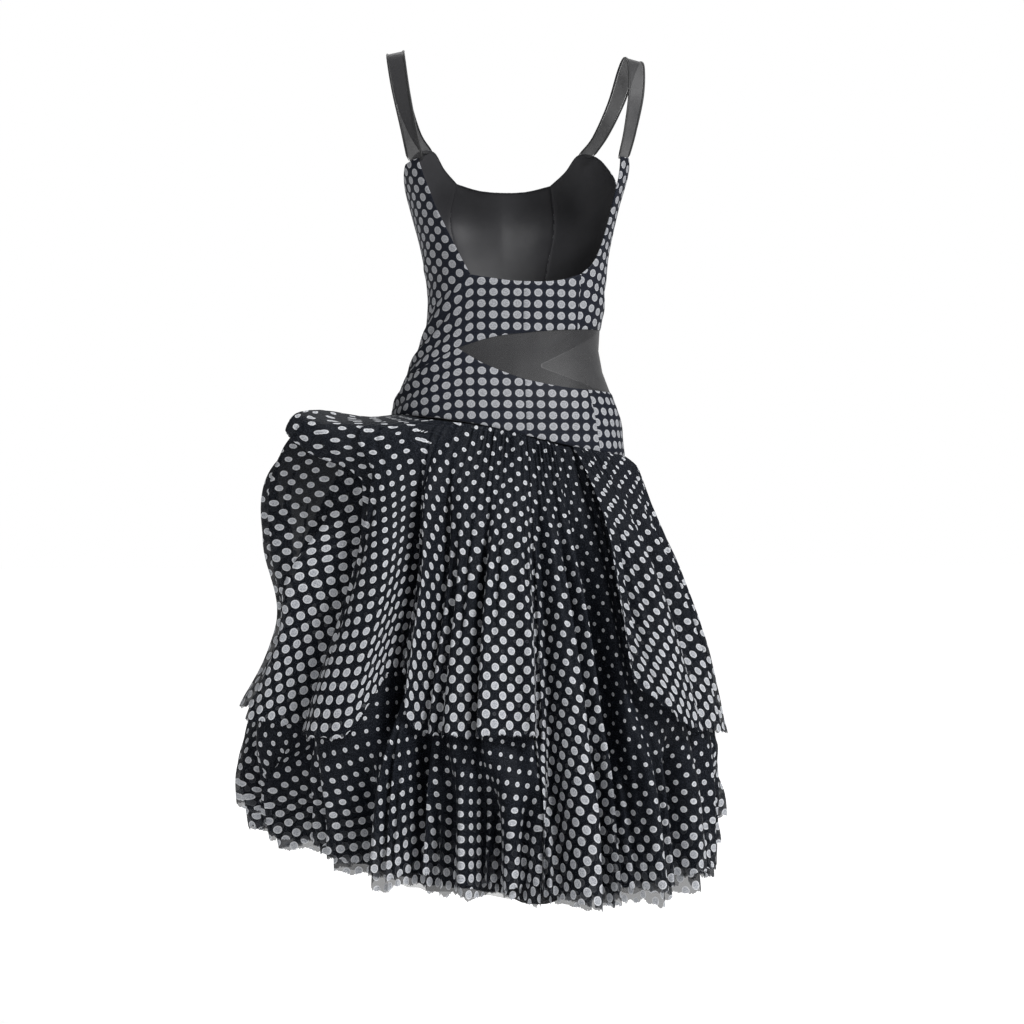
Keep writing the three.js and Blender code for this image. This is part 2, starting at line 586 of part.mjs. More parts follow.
function addUnderskirt(name, number, hem, look) {
  const point = (angle, v) => plainPoint(number, angle, mix(seamHeight(angle) - rimGap, hem, v));
  addPiece(name, clothTube(point, evenly(-180, 180, 30).slice(1), evenly(0, 1, 4), sheerWall), look);
}

addBackPanels();
addFrontPanels();
addCrescent();
addStraps();
addSkirt();
addUnderskirt("petticoat", layer.petticoat, -994, cloth.tulle);
addUnderskirt("lining", layer.lining, -1000, cloth.lining);

export default dress;
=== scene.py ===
import bpy, math
import numpy as np
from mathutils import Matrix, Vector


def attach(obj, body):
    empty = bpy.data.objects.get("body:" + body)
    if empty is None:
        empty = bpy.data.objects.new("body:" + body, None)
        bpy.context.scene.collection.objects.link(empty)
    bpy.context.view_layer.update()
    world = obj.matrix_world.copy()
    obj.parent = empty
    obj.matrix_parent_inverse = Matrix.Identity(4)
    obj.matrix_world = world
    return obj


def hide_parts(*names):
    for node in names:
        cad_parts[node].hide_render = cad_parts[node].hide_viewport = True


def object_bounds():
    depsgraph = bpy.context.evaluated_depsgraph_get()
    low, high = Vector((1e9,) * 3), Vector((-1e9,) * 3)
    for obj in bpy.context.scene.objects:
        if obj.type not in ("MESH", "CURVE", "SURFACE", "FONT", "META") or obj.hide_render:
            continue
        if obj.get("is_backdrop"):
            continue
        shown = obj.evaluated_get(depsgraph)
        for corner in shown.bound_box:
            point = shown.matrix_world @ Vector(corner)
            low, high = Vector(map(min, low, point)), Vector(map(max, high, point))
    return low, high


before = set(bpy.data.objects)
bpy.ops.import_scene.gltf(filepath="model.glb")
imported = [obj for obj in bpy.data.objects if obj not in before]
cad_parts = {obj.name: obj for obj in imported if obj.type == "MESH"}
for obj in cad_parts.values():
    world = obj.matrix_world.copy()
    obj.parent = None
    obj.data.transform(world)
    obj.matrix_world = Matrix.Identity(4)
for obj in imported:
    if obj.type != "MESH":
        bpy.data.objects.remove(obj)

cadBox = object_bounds()
fineRounds = 160
bpy.ops.object.select_all(action="DESELECT")
mm = 0.001


# Maths shared by the pieces. Angles are degrees about Z from the centre back,
# and heights and radii are millimetres.
def curveThrough(keys, values, at, wrap=False):
    keys, values, at = np.asarray(keys, float), np.asarray(values, float), np.asarray(at, float)
    if keys[0] > keys[-1]:
        keys, at = -keys, -at
    if wrap:
        keys = np.concatenate([keys[-2:] - 360, keys, keys[:2] + 360])
        values = np.concatenate([values[-2:], values, values[:2]])
    last = len(keys) - 1
    low, high = (1, last - 2) if wrap else (0, last - 1)
    i = np.clip(np.searchsorted(keys, at, side="right") - 1, low, high)
    near = lambda n: np.clip(i + n, 0, last)
    pick = lambda n: values[near(n)] if values.ndim == 1 else np.take_along_axis(values, near(n)[None], 0)[0]
    k0, k1, k2, k3 = (keys[near(n)] for n in (-1, 0, 1, 2))
    p0, p1, p2, p3 = (pick(n) for n in (-1, 0, 1, 2))
    t = np.clip((at - k1) / (k2 - k1), 0, 1)
    m1 = (p2 - p0) / np.where(k2 == k0, 1, k2 - k0) * (k2 - k1)
    m2 = (p3 - p1) / np.where(k3 == k1, 1, k3 - k1) * (k2 - k1)
    square, cube = t**2, t**3
    start, end = 2 * cube - 3 * square + 1, 3 * square - 2 * cube
    return start * p1 + (cube - 2 * square + t) * m1 + end * p2 + (cube - square) * m2


def ease(x):
    x = np.clip(x, 0, 1)
    return x * x * (3 - 2 * x)


def mix(a, b, share):
    return a + (b - a) * share


def turnTo(angle):
    return (angle + 180) % 360 - 180


# a sum of a few sines round the circle
def ripples(at, waves, seed, spread=0.5):
    pick = np.random.default_rng(seed)
    total = np.zeros(np.shape(at))
    for wave in waves:
        k = round(wave * (1 + spread * (pick.random() - 0.5)))
        total = total + np.sin(np.radians(k * at) + pick.random() * 6.28) * (0.6 + 0.8 * pick.random())
    return total / len(waves)


def polar(angle, radius, z):
    a = np.radians(angle)
    return np.stack([radius * np.sin(a), -radius * np.cos(a), z + 0 * radius], -1)


# The general figure under the bodice
figure = {
    "z": [-60, -137, -190, -245, -300, -340, -375, -410, -440, -500],
    "left": [150, 141, 127, 113, 106, 110, 125, 140, 151, 162],
    "right": [148, 140, 126, 114, 109, 104, 104, 116, 126, 135],
    "back": [86, 92, 88, 80, 75, 73, 78, 88, 96, 106],
    "front": [84, 106, 116, 102, 87, 81, 83, 88, 92, 97],
    "power": 2.3, "cupAngle": 26, "cupSpread": 17, "cupZ": -192, "cupHeight": 46, "cupFull": 13,
}


def torsoRadius(angle, z):
    angle, z = np.broadcast_arrays(np.asarray(angle, float), np.asarray(z, float))
    s, c = np.sin(np.radians(angle)), np.cos(np.radians(angle))
    side = lambda name: curveThrough(figure["z"], figure[name], z)
    half, deep = np.where(s < 0, side("left"), side("right")), np.where(c > 0, side("back"), side("front"))
    power = figure["power"]
    radius = ((np.abs(c) / deep) ** power + (np.abs(s) / half) ** power) ** (-1 / power)
    across = ((np.abs(turnTo(angle - 180)) - figure["cupAngle"]) / figure["cupSpread"]) ** 2
    along = ((z - figure["cupZ"]) / figure["cupHeight"]) ** 2
    return radius + figure["cupFull"] * np.exp(-across - along)


def seamHeight(angle):
    return -465 - 25 * np.sin(np.radians(angle)) - 3 * np.cos(np.radians(angle))


# Making a sheet: a grid primitive with its points set row by row from the top edge down
def sheetFrom(name, points, cloth, place=None, closed=False):
    rows, columns = points.shape[:2]
    bpy.ops.mesh.primitive_grid_add(x_subdivisions=columns - 1, y_subdivisions=rows - 1, size=1)
    sheet = bpy.context.object
    sheet.name = sheet.data.name = name
    mesh = sheet.data
    mesh.vertices.foreach_set("co", (points[::-1] * mm).astype(np.float32).ravel())
    corner = np.empty(len(mesh.loops), np.int32)
    mesh.loops.foreach_get("vertex_index", corner)
    while mesh.uv_layers:
        mesh.uv_layers.remove(mesh.uv_layers[0])
    for layerName, values in (("cloth", cloth), ("place", place)):
        if values is not None:
            layer = mesh.uv_layers.new(name=layerName)
            layer.data.foreach_set("uv", values[::-1].reshape(-1, 2)[corner].astype(np.float32).ravel())
    mesh.uv_layers.active_index = 0
    if closed:
        bpy.ops.object.mode_set(mode="EDIT")
        bpy.ops.mesh.select_all(action="SELECT")
        bpy.ops.mesh.remove_doubles(threshold=0.00002)
        bpy.ops.object.mode_set(mode="OBJECT")
    bpy.ops.object.shade_smooth()
    return sheet


def finishPiece(piece, material, settings):
    if material:
        piece.data.materials.append(material)
    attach(piece, "root")
    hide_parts(settings["node"])
    piece.select_set(False)


# Materials
def newGroup(name, inputs, outputs):
    group = bpy.data.node_groups.new(name, "ShaderNodeTree")
    for socketName, kind, value in inputs:
        socket = group.interface.new_socket(socketName, in_out="INPUT", socket_type=kind)
        if value is not None:
            socket.default_value = value
    for socketName, kind in outputs:
        group.interface.new_socket(socketName, in_out="OUTPUT", socket_type=kind)
    return group, group.nodes.new("NodeGroupInput"), group.nodes.new("NodeGroupOutput")


# short ways to add linked nodes to a tree
class Graph:
    def __init__(self, tree):
        self.tree = tree

    def put(self, kind, inputs=None, **settings):
        node = self.tree.nodes.new(kind)
        for key, value in settings.items():
            setattr(node, key, value)
        for key, value in (inputs or {}).items():
            if isinstance(value, bpy.types.NodeSocket):
                self.tree.links.new(value, node.inputs[key])
            else:
                node.inputs[key].default_value = value
        return node

    def join(self, value, node, socketName):
        self.tree.links.new(value, node.inputs[socketName])

    def math(self, operation, *values):
        return self.put("ShaderNodeMath", dict(enumerate(values)), operation=operation).outputs[0]

    def vector(self, operation, *values):
        node = self.put("ShaderNodeVectorMath", dict(enumerate(values)), operation=operation)
        return node.outputs["Value" if operation in ("LENGTH", "DISTANCE") else "Vector"]

    def range(self, value, low, high, toLow=0.0, toHigh=1.0, smooth=True):
        inputs = {"Value": value, "From Min": low, "From Max": high, "To Min": toLow, "To Max": toHigh}
        kind = "SMOOTHSTEP" if smooth else "LINEAR"
        return self.put("ShaderNodeMapRange", inputs, interpolation_type=kind).outputs[0]

    def colour(self, share, a, b):
        return self.put("ShaderNodeMix", {0: share, 6: a, 7: b}, data_type="RGBA").outputs[2]

    def noise(self, at, scale, detail, roughness=0.5):
        inputs = {"Vector": at, "Scale": scale, "Detail": detail, "Roughness": roughness}
        return self.put("ShaderNodeTexNoise", inputs).outputs[0]

    def group(self, tree, cloth, **values):
        inputs = {"Cloth": cloth, **{name.capitalize(): value for name, value in values.items()}}
        return self.put("ShaderNodeGroup", inputs, node_tree=tree).outputs

    def bump(self, shader, height, strength, distance):
        inputs = {"Height": height, "Strength": strength, "Distance": distance}
        self.join(self.put("ShaderNodeBump", inputs).outputs[0], shader, "Normal")


# round dots on a square lattice; the radius may change from place to place
def makeDotGroup():
    group, start, end = newGroup(
        "polkaDots",
        [("Cloth", "NodeSocketVector", None), ("Pitch", "NodeSocketFloat", 0.0145),
         ("Radius", "NodeSocketFloat", 0.005), ("Edge", "NodeSocketFloat", 0.0005)],
        [("Dot", "NodeSocketFloat"), ("Rim", "NodeSocketFloat"), ("Speckle", "NodeSocketFloat")])
    g, put = Graph(group), start.outputs
    wander = g.put("ShaderNodeTexNoise", {"Vector": put["Cloth"], "Scale": 9.0, "Detail": 1.0})
    shift = g.vector("SCALE", g.vector("SUBTRACT", wander.outputs["Color"], (0.5, 0.5, 0.5)))
    shift.node.inputs["Scale"].default_value = 0.0025
    place = g.vector("ADD", put["Cloth"], shift)
    cell = g.vector("DIVIDE", place, put["Pitch"])
    inside = g.vector("SUBTRACT", g.vector("FRACTION", cell), (0.5, 0.5, 0.0))
    flat = g.vector("MULTIPLY", inside, (1.0, 1.0, 0.0))
    far = g.math("MULTIPLY", g.vector("LENGTH", flat), put["Pitch"])
    fuzz = g.math("SUBTRACT", g.noise(put["Cloth"], 900.0, 2.0), 0.5)
    far = g.math("ADD", far, g.math("MULTIPLY", fuzz, 0.0009))
    beyond = g.math("DIVIDE", g.math("SUBTRACT", put["Radius"], far), put["Edge"])
    g.join(g.range(beyond, -0.5, 0.5), end, "Dot")
    g.join(g.range(beyond, 2.4, 0.8), end, "Rim")
    g.join(g.noise(put["Cloth"], 650.0, 4.0, 0.7), end, "Speckle")
    return group


# threads over and under at a pitch, as a height and a sight through the gaps
def makeWeaveGroup():
    group, start, end = newGroup(
        "wovenThreads", [("Cloth", "NodeSocketVector", None), ("Pitch", "NodeSocketFloat", 0.0006)],
        [("Height", "NodeSocketFloat"), ("Gap", "NodeSocketFloat")])
    g = Graph(group)
    turns = g.vector("SCALE", g.vector("DIVIDE", start.outputs["Cloth"], start.outputs["Pitch"]))
    turns.node.inputs["Scale"].default_value = math.pi
    parts = g.put("ShaderNodeSeparateXYZ", {"Vector": turns})
    warp, weft = (g.math("ABSOLUTE", g.math("SINE", parts.outputs[axis])) for axis in "XY")
    g.join(g.math("MAXIMUM", warp, weft), end, "Height")
    gap = g.math("MULTIPLY", *(g.range(thread, 0.15, 0.6, 1.0, 0.0) for thread in (warp, weft)))
    g.join(gap, end, "Gap")
    return group


dotGroup = makeDotGroup()
weaveGroup = makeWeaveGroup()


def newCloth(name, roughness, sheen, specular=0.35):
    material = bpy.data.materials.new(name)
    material.use_nodes = True
    shader = material.node_tree.nodes["Principled BSDF"]
    shader.inputs["Roughness"].default_value = roughness
    shader.inputs["Sheen Weight"].default_value = sheen
    shader.inputs["Sheen Roughness"].default_value = 0.45
    shader.inputs["Specular IOR Level"].default_value = specular
    return material, Graph(material.node_tree), shader


def uvOf(g, name):
    return g.put("ShaderNodeUVMap", uv_map=name).outputs[0]


def satinMaterial(name, look):
    material, g, shader = newCloth(name, 0.55, 0.0, 0.06)
    cloth = uvOf(g, "cloth")
    dots = g.group(dotGroup, cloth, pitch=look["pitch"], radius=look["radius"], edge=0.0007)
    worn = g.math("MULTIPLY", g.noise(cloth, 60.0, 4.0), 0.35)
    light = g.colour(g.range(dots["Speckle"], 0.3, 0.7), look["dotDark"], look["dot"])
    light = g.colour(worn, light, look["dotDark"])
    light = g.colour(g.math("MULTIPLY", dots["Rim"], 0.3), light, look["dotRim"])
    dark = g.colour(g.range(dots["Speckle"], 0.3, 0.75), look["ground"], look["groundLight"])
    g.join(g.colour(dots["Dot"], dark, light), shader, "Base Color")
    weave = g.math("MULTIPLY", g.group(weaveGroup, cloth, pitch=0.0011)["Height"], 0.12)
    soft = g.math("MULTIPLY", g.noise(cloth, 34.0, 3.0), 1.2)
    g.bump(shader, g.math("ADD", weave, soft), 0.35, 0.0012)
    return material


def organzaMaterial(name, look):
    material, g, shader = newCloth(name, look["roughness"], 0.0, 0.05)
    cloth = uvOf(g, "cloth")
    spot = g.put("ShaderNodeSeparateXYZ", {"Vector": uvOf(g, "place")}).outputs
    growth, fromHem = spot["X"], spot["Y"]
    radius = g.range(growth, 0.0, 1.0, look["smallest"], look["largest"], smooth=False)
    dots = g.group(dotGroup, cloth, pitch=look["pitch"], radius=radius, edge=0.0006)
    light = g.colour(g.range(dots["Speckle"], 0.3, 0.7), look["dotDark"], look["dot"])
    light = g.colour(g.math("MULTIPLY", dots["Rim"], 0.6), light, look["dotRim"])
    dark = g.colour(g.range(dots["Speckle"], 0.42, 0.75), look["ground"], look["groundLight"])
    g.join(g.colour(dots["Dot"], dark, light), shader, "Base Color")
    fray = g.math("MULTIPLY", g.math("SUBTRACT", g.noise(cloth, 420.0, 2.0), 0.35), 0.006)
    edge = g.range(g.math("SUBTRACT", fromHem, fray), 0.0, 0.0006)
    crowded = g.range(growth, 0.5, 1.0, look["gatheredCover"], look["cover"], smooth=False)
    gaps = g.math("MULTIPLY", g.group(weaveGroup, cloth, pitch=0.0009)["Gap"], 0.1)
    sheer = g.math("SUBTRACT", crowded, gaps)
    covered = g.put("ShaderNodeMix", {0: dots["Dot"], 2: sheer, 3: look["dotCover"]}).outputs[0]
    g.join(g.math("MULTIPLY", covered, edge), shader, "Alpha")
    height = g.math("ADD", g.noise(cloth, 55.0, 5.0, 0.6), g.math("MULTIPLY", dots["Dot"], 0.12))
    g.bump(shader, height, look["crinkle"], 0.004)
    return material


def netMaterial(name, look):
    material, g, shader = newCloth(name, look["roughness"], 0.15)
    cloth = uvOf(g, "cloth")
    cloud = g.noise(cloth, 25.0, 3.0)
    g.join(g.colour(cloud, look["colour"], look["colourLight"]), shader, "Base Color")
    gaps = g.math("MULTIPLY", g.group(weaveGroup, cloth, pitch=look["pitch"])["Gap"], look["holes"])
    uneven = g.math("MULTIPLY", g.math("SUBTRACT", cloud, 0.5), 0.15)
    g.join(g.math("ADD", g.math("SUBTRACT", look["cover"] + 0.1, gaps), uneven), shader, "Alpha")
    g.bump(shader, cloud, 0.3, 0.003)
    return material


def plainMaterial(name, look):
    material, g, shader = newCloth(name, look["roughness"], 0.1)
    cloth = uvOf(g, "cloth")
    cloud = g.noise(cloth, 40.0, 4.0)
    g.join(g.colour(cloud, look["colour"], look["colourLight"]), shader, "Base Color")
    weave = g.group(weaveGroup, cloth, pitch=look["pitch"])["Height"]
    g.bump(shader, g.math("ADD", g.math("MULTIPLY", weave, 0.2), cloud), 0.3, 0.0012)
    return material


def grey(level, blue=0.0):
    return level, level, level + blue, 1


satinLook = {
    "pitch": 0.0143, "radius": 0.0049,
    "dot": (0.33, 0.335, 0.35, 1), "dotDark": (0.13, 0.135, 0.15, 1), "dotRim": (0.48, 0.485, 0.50, 1),
    "ground": (0.004, 0.005, 0.008, 1), "groundLight": (0.016, 0.018, 0.026, 1),
}
organzaLook = {
    "pitch": 0.0148, "smallest": 0.0021, "largest": 0.0050, "roughness": 0.6, "crinkle": 0.5,
    "dot": (0.46, 0.47, 0.495, 1), "dotDark": (0.15, 0.16, 0.18, 1), "dotRim": (0.66, 0.67, 0.69, 1),
    "ground": (0.003, 0.004, 0.006, 1), "groundLight": (0.028, 0.031, 0.040, 1),
    "cover": 0.76, "gatheredCover": 0.94, "dotCover": 0.96,
}
meshLook = {"pitch": 0.0009, "roughness": 0.6, "cover": 0.78, "holes": 0.3,
            "colour": grey(0.008, 0.001), "colourLight": grey(0.02, 0.002)}
strapLook = {"pitch": 0.0009, "roughness": 0.6, "cover": 0.86, "holes": 0.25,
             "colour": grey(0.006, 0.001), "colourLight": grey(0.014, 0.002)}
tulleLook = {"pitch": 0.0016, "roughness": 0.7, "cover": 0.45, "holes": 0.3,
             "colour": grey(0.01, 0.001), "colourLight": grey(0.022, 0.002)}
liningLook = {"pitch": 0.0008, "roughness": 0.42,
              "colour": grey(0.006, 0.001), "colourLight": grey(0.012, 0.002)}
pipingLook = {"pitch": 0.0006, "roughness": 0.5, "colour": grey(0.006), "colourLight": grey(0.014, 0.001)}
insideLook = {"pitch": 0.0008, "roughness": 0.6, "colour": grey(0.01, 0.002), "colourLight": grey(0.02, 0.003)}
satin = satinMaterial("dottedSatin", satinLook)
organza = organzaMaterial("dottedOrganza", organzaLook)
stretchMesh = netMaterial("stretchMesh", meshLook)
strapNet = netMaterial("strapNet", strapLook)
tulle = netMaterial("tulleNet", tulleLook)
liningCloth = plainMaterial("liningSatin", liningLook)
pipingCloth = plainMaterial("pipingSatin", pipingLook)
bodiceInside = plainMaterial("bodiceInside", insideLook)
print("materials done")

# Skirt. All gathered layers share one rule, so each stays inside the next: a floor that the valleys reach,
# crests, and a share between them.
layerOf = {"lining": 0, "petticoat": 1, "innerFlounce": 2, "outerFlounce": 3, "streamer": 4, "overskirt": 5}
skirt = {"step": 2.2, "spread": 6.5, "drop": 520, "rimGap": 1.2, "innerTop": -555, "foldDrop": 340}

overskirt = {
    "angle": [-180, -140, -112, -96, -84, -72, -60, -49, -39, -29, -10, 8, 24, 44, 66, 90, 125],
    "lip": [112, 128, 190, 222, 250, 276, 218, 146, 124, 114, 110, 112, 118, 130, 143, 146, 132],
    "high": [152, 180, 262, 306, 300, 268, 214, 182, 170, 158, 150, 150, 156, 166, 174, 172, 168],
    "belly": [200, 232, 302, 328, 320, 286, 250, 232, 219, 208, 202, 202, 204, 208, 210, 208, 210],
    "low": [238, 262, 294, 304, 302, 292, 280, 262, 250, 240, 236, 236, 238, 240, 240, 238, 240],
    "hem": [266, 286, 322, 340, 338, 330, 316, 298, 278, 274, 270, 268, 268, 268, 264, 256, 264],
    "levels": [0, 0.04, 0.2, 0.42, 0.68, 1],
    "cadHem": [-806, -808, -806, -800, -800, -806, -812, -808, -742, -796, -806, -808, -748, -806, -832,
               -826, -812],
    "hemAngle": [-180, -140, -112, -98, -88, -78, -66, -57, -51, -48.5, -46.5, -43, -39, -36.5, -33, -20,
                 -8, 8, 20, 28, 32, 38, 46, 56, 66, 78, 92, 125],
    "hemZ": [-804, -808, -806, -796, -794, -800, -806, -810, -812, -806, -744, -737, -745, -790, -806,
             -806, -804, -808, -770, -746, -762, -796, -810, -816, -820, -822, -822, -812],
}
flounce = {
    "angle": [-180, -130, -95, -70, -48, -20, 10, 40, 80, 125],
    "radii": [[128, 150, 205, 190, 150, 128, 126, 136, 150, 142],
              [186, 215, 275, 250, 214, 188, 186, 190, 192, 190],
              [228, 258, 300, 286, 254, 228, 226, 228, 226, 228],
              [254, 284, 326, 312, 280, 256, 254, 252, 246, 250],
              [276, 300, 338, 322, 292, 276, 276, 270, 256, 266],
              [284, 300, 322, 304, 292, 288, 290, 280, 256, 272]],
    "head": -466, "foot": -990, "heights": [-520, -620, -720, -810, -890, -990],
    "hemAngle": [-180, -150, -130, -108, -95, -84, -74, -66, -58, -50, -42, -34, -26, -16, -6, 4, 14, 24,
                 34, 44, 54, 64, 76, 90, 108, 125, 150],
    "outerZ": [-962, -952, -950, -922, -905, -915, -934, -936, -944, -952, -964, -962, -966, -970, -966,
               -974, -978, -980, -978, -968, -974, -950, -930, -932, -946, -962, -950],
    "innerZ": [-990, -978, -982, -960, -945, -936, -944, -948, -956, -968, -978, -976, -984, -980, -984,
               -990, -992, -996, -996, -990, -980, -992, -988, -984, -978, -990, -980],
}
overskirtFolds = {
    "angle": [-160, -139, -118, -99, -83, -63, -44, -33, -21, -9, 3, 12, 22, 31, 47, 63, 79, 98, 119,
              140, 160, 180],
    "half": [7, 7, 6, 5, 5, 7, 3.2, 3.4, 3, 3.5, 3, 2.6, 4.4, 2.6, 3.4, 4, 5, 6, 7, 7, 6, 7],
    "depth": [0.65, 0.75, 0.65, 0.15, 0.3, 0.6, 0.85, 0.75, 0.3, 0.28, 0.7, 0.45, 0.85, 0.4, 0.3, 0.5,
              0.55, 0.7, 0.55, 0.75, 0.6, 0.7],
    "from": [0.05, 0, 0.1, 0.1, 0.1, 0.06, 0, 0, 0, 0, 0, 0, 0, 0.1, 0, 0.05, 0, 0.05, 0, 0.1, 0, 0.05],
    "to": [1.1, 1.1, 1.1, 1.1, 1.1, 1.1, 1.2, 1.2, 1.1, 1.1, 1.5, 1.5, 1.3, 1.2, 1.1, 1.1, 1.1, 1.1, 1.1,
           1.1, 1.1, 1.1],
    "lean": [2, -2, -3, -2, -5, -7, -1, -1, 1, 1, -1, -1, -1, 1, 2, 2, 1, -1, 2, -2, 1, 0],
}


def dropShare(angle, z):
    return np.clip((seamHeight(angle) - z) / skirt["drop"], 0, 1)


def liningRadius(angle, z):
    share = dropShare(angle, z)
    hip = torsoRadius(angle, seamHeight(angle)) - 13
    hem = mix(198, 214, np.sin(np.radians(angle)) ** 2)
    return mix(hip, hem, share**0.85) + 5 * share * np.sin(np.radians(9 * angle + 34))


def floorRadius(number, angle, z):
    return liningRadius(angle, z) + number * (skirt["step"] + skirt["spread"] * dropShare(angle, z) ** 0.8)


def overskirtHem(angle):
    return curveThrough(overskirt["hemAngle"], overskirt["hemZ"], turnTo(angle), True)


def cadHem(angle):
    return curveThrough(overskirt["angle"], overskirt["cadHem"], turnTo(angle), True)


def overskirtCrest(angle, z):
    share = np.clip((seamHeight(angle) - z) / (seamHeight(angle) - cadHem(angle)), 0, 1)
    rim = torsoRadius(angle, seamHeight(angle))
    rows = [curveThrough(overskirt["angle"], overskirt[name], turnTo(angle), True)
            for name in ("lip", "high", "belly", "low", "hem")]
    return curveThrough(overskirt["levels"], np.stack([rim, *rows]), share) - hipHollow(angle, z)


# under the raised fold at the left hip the cloth tucks back in, with a crease beside it
def hipHollow(angle, z):
    angle = turnTo(angle)
    opening = np.clip((-464 - z) / 56, 0, 1)
    across = ease((angle + 86) / 7) * ease((mix(-76, -64.5, opening) - angle) / 4)
    down = ease((-460 - z) / 14) * ease((z + 660) / 110)
    crease = 16 * np.exp(-((angle + 63) / 1.8) ** 2) * ease((-446 - z) / 10) * ease((z + 560) / 60)
    return 60 * across * down + crease


def flounceCrest(angle, z):
    rim = torsoRadius(angle, seamHeight(angle)) - 4
    rows = [curveThrough(flounce["angle"], row, turnTo(angle), True) for row in flounce["radii"]]
    top = seamHeight(angle)
    # the heights below the seam are shared, and the seam's own height changes round the hip
    share = np.clip((top - z) / (top - flounce["foot"]), 0, 1)
    levels = flounce["head"] - np.array([flounce["head"], *flounce["heights"]])
    return curveThrough(levels / (flounce["head"] - flounce["foot"]), np.stack([rim, *rows]), share)


def crestRadius(number, angle, z):
    over = overskirtCrest(angle, z)
    if number == layerOf["overskirt"]:
        return over
    spread = skirt["step"] + 7 * dropShare(angle, z)
    below = np.clip(cadHem(angle) - z, 0, None)
    under = np.minimum(over - 2 * spread + 0.6 * below, flounceCrest(angle, z))
    return under + (number - layerOf["outerFlounce"]) * spread


def valley(angle, centre, half, sharp=2.0):
    return np.exp(-np.abs(turnTo(angle - centre) / half) ** sharp)


def smallFolds(seed, count, depth, half, startTo, endTo):
    pick = np.random.default_rng(seed)
    centres = (np.arange(count) + 0.75 * (pick.random(count) - 0.5)) * 360 / count - 180
    bias = 1.5 if endTo < 1 else 0.6
    return [{"angle": centre, "half": half * (0.6 + 0.8 * pick.random()),
             "depth": depth * (0.35 + 0.65 * pick.random()), "from": -0.05 + startTo * pick.random(),
             "to": 0.18 + endTo * pick.random() ** bias, "lean": 2 * pick.random() - 1}
            for centre in centres]


mainFolds = [dict(zip(overskirtFolds, row)) for row in zip(*overskirtFolds.values())]
fineFolds = smallFolds(3, 56, 0.36, 1.3, 0.2, 0.6) + smallFolds(5, 24, 0.6, 2.6, 0.25, 1.35)
lowFolds = smallFolds(11, 30, 0.85, 2.8, 0, 1)
tinyFolds = smallFolds(23, 80, 0.5, 1.1, 0, 1)
deepFolds = {"angle": [-56, -33.5, -17, 3, 12, 22, 38, 58], "half": [2.6, 2.4, 2.2, 2.4, 2, 3.4, 2.6, 3],
             "depth": [0.85, 1.0, 0.6, 0.7, 0.4, 0.85, 0.6, 0.5]}


def upperFold(angle, z):
    share = (seamHeight(angle) - z) / skirt["foldDrop"]
    crest = np.ones(np.shape(share + angle))
    calm = 1 - 0.4 * np.exp(-(((turnTo(angle) + 84) / 30) ** 4))
    for fold in mainFolds + fineFolds:
        depth = fold["depth"] * (1 if fold in mainFolds else calm)
        grown = ease((share - fold["from"]) / 0.45 + 0.12) * (1 - ease((share - fold["to"]) / 0.3))
        lean = 0 if fold in mainFolds else fold["lean"] * share
        sharp = 1.6 if fold["half"] < 4 else 2.0
        crest = crest * (1 - depth * grown * valley(angle, fold["angle"] + lean, fold["half"], sharp))
    return crest


def lowerFold(angle, z):
    share = ease((cadHem(angle) + 20 - z) / 150)
    crest = np.ones(np.shape(share + angle))
    calm = 1 - 0.75 * np.exp(-(((turnTo(angle) + 98) / 16) ** 2))
    for centre, half, depth in zip(deepFolds["angle"], deepFolds["half"], deepFolds["depth"]):
        crest = crest * (1 - depth * valley(angle, centre, half, 1.7))
    for folds, grown, drift in ((lowFolds, calm, 5 * (share - 0.3)), (tinyFolds, share, 3 * share)):
        for fold in folds:
            cut = valley(angle, fold["angle"] + fold["lean"] * drift, fold["half"], 1.7)
            crest = crest * (1 - fold["depth"] * grown * cut)
    return crest


def foldShare(angle, z, number):
    below = 0 if number == layerOf["overskirt"] else ease((cadHem(angle) + 4 - z) / 90)
    return mix(upperFold(angle, z), lowerFold(angle, z), below)


def leanedAngle(angle, z):
    fall = seamHeight(angle) - z
    lean = curveThrough(overskirtFolds["angle"], overskirtFolds["lean"], turnTo(angle), True)
    # at the left the folds hang down from the wing, not out from the waist
    hang = 8 * np.exp(-(((turnTo(angle) + 44) / 20) ** 2)) * (1 - ease(fall / 190))
    return angle + lean * np.clip(fall / skirt["foldDrop"], 0, 1) - hang


# the fine gathers at the hip seam, the same for all layers, so they never cross
def pleats(angle, z):
    fall = np.clip(seamHeight(angle) - z, 0, None)
    near = np.exp(-((fall / 70) ** 1.3)) * (0.35 + 0.65 * ease(fall / 12))
    puff = 2.4 * ease(fall / 5) * np.exp(-((fall / 24) ** 2))
    return puff + near * (3.6 * ripples(angle, [62, 88, 118], 5) + 2.0 * ripples(angle, [150, 176], 6))


# crests lean to one side of their valleys, all layers alike
def sway(angle, radius, z):
    out = np.clip((radius - floorRadius(5, angle, z) - 4) / 55, 0, 1.2)
    grow = ease(dropShare(angle, z) * 2.2)
    return grow * out * (4.2 * ripples(angle, [7, 11, 9], 31) + 1.2 * ripples(angle, [23, 29], 32))


def gatheredPoint(number, angle, z):
    leaned = leanedAngle(angle, z)
    floor = floorRadius(number, leaned, z)
    crest = np.maximum(floor + 1, crestRadius(number, leaned, z))
    opened = ease((skirt["innerTop"] - z) / 90) if number == layerOf["innerFlounce"] else 1
    radius = mix(floor, crest, opened * foldShare(angle, z, number)) + pleats(angle, z)
    return leaned + sway(leaned, radius, z), radius


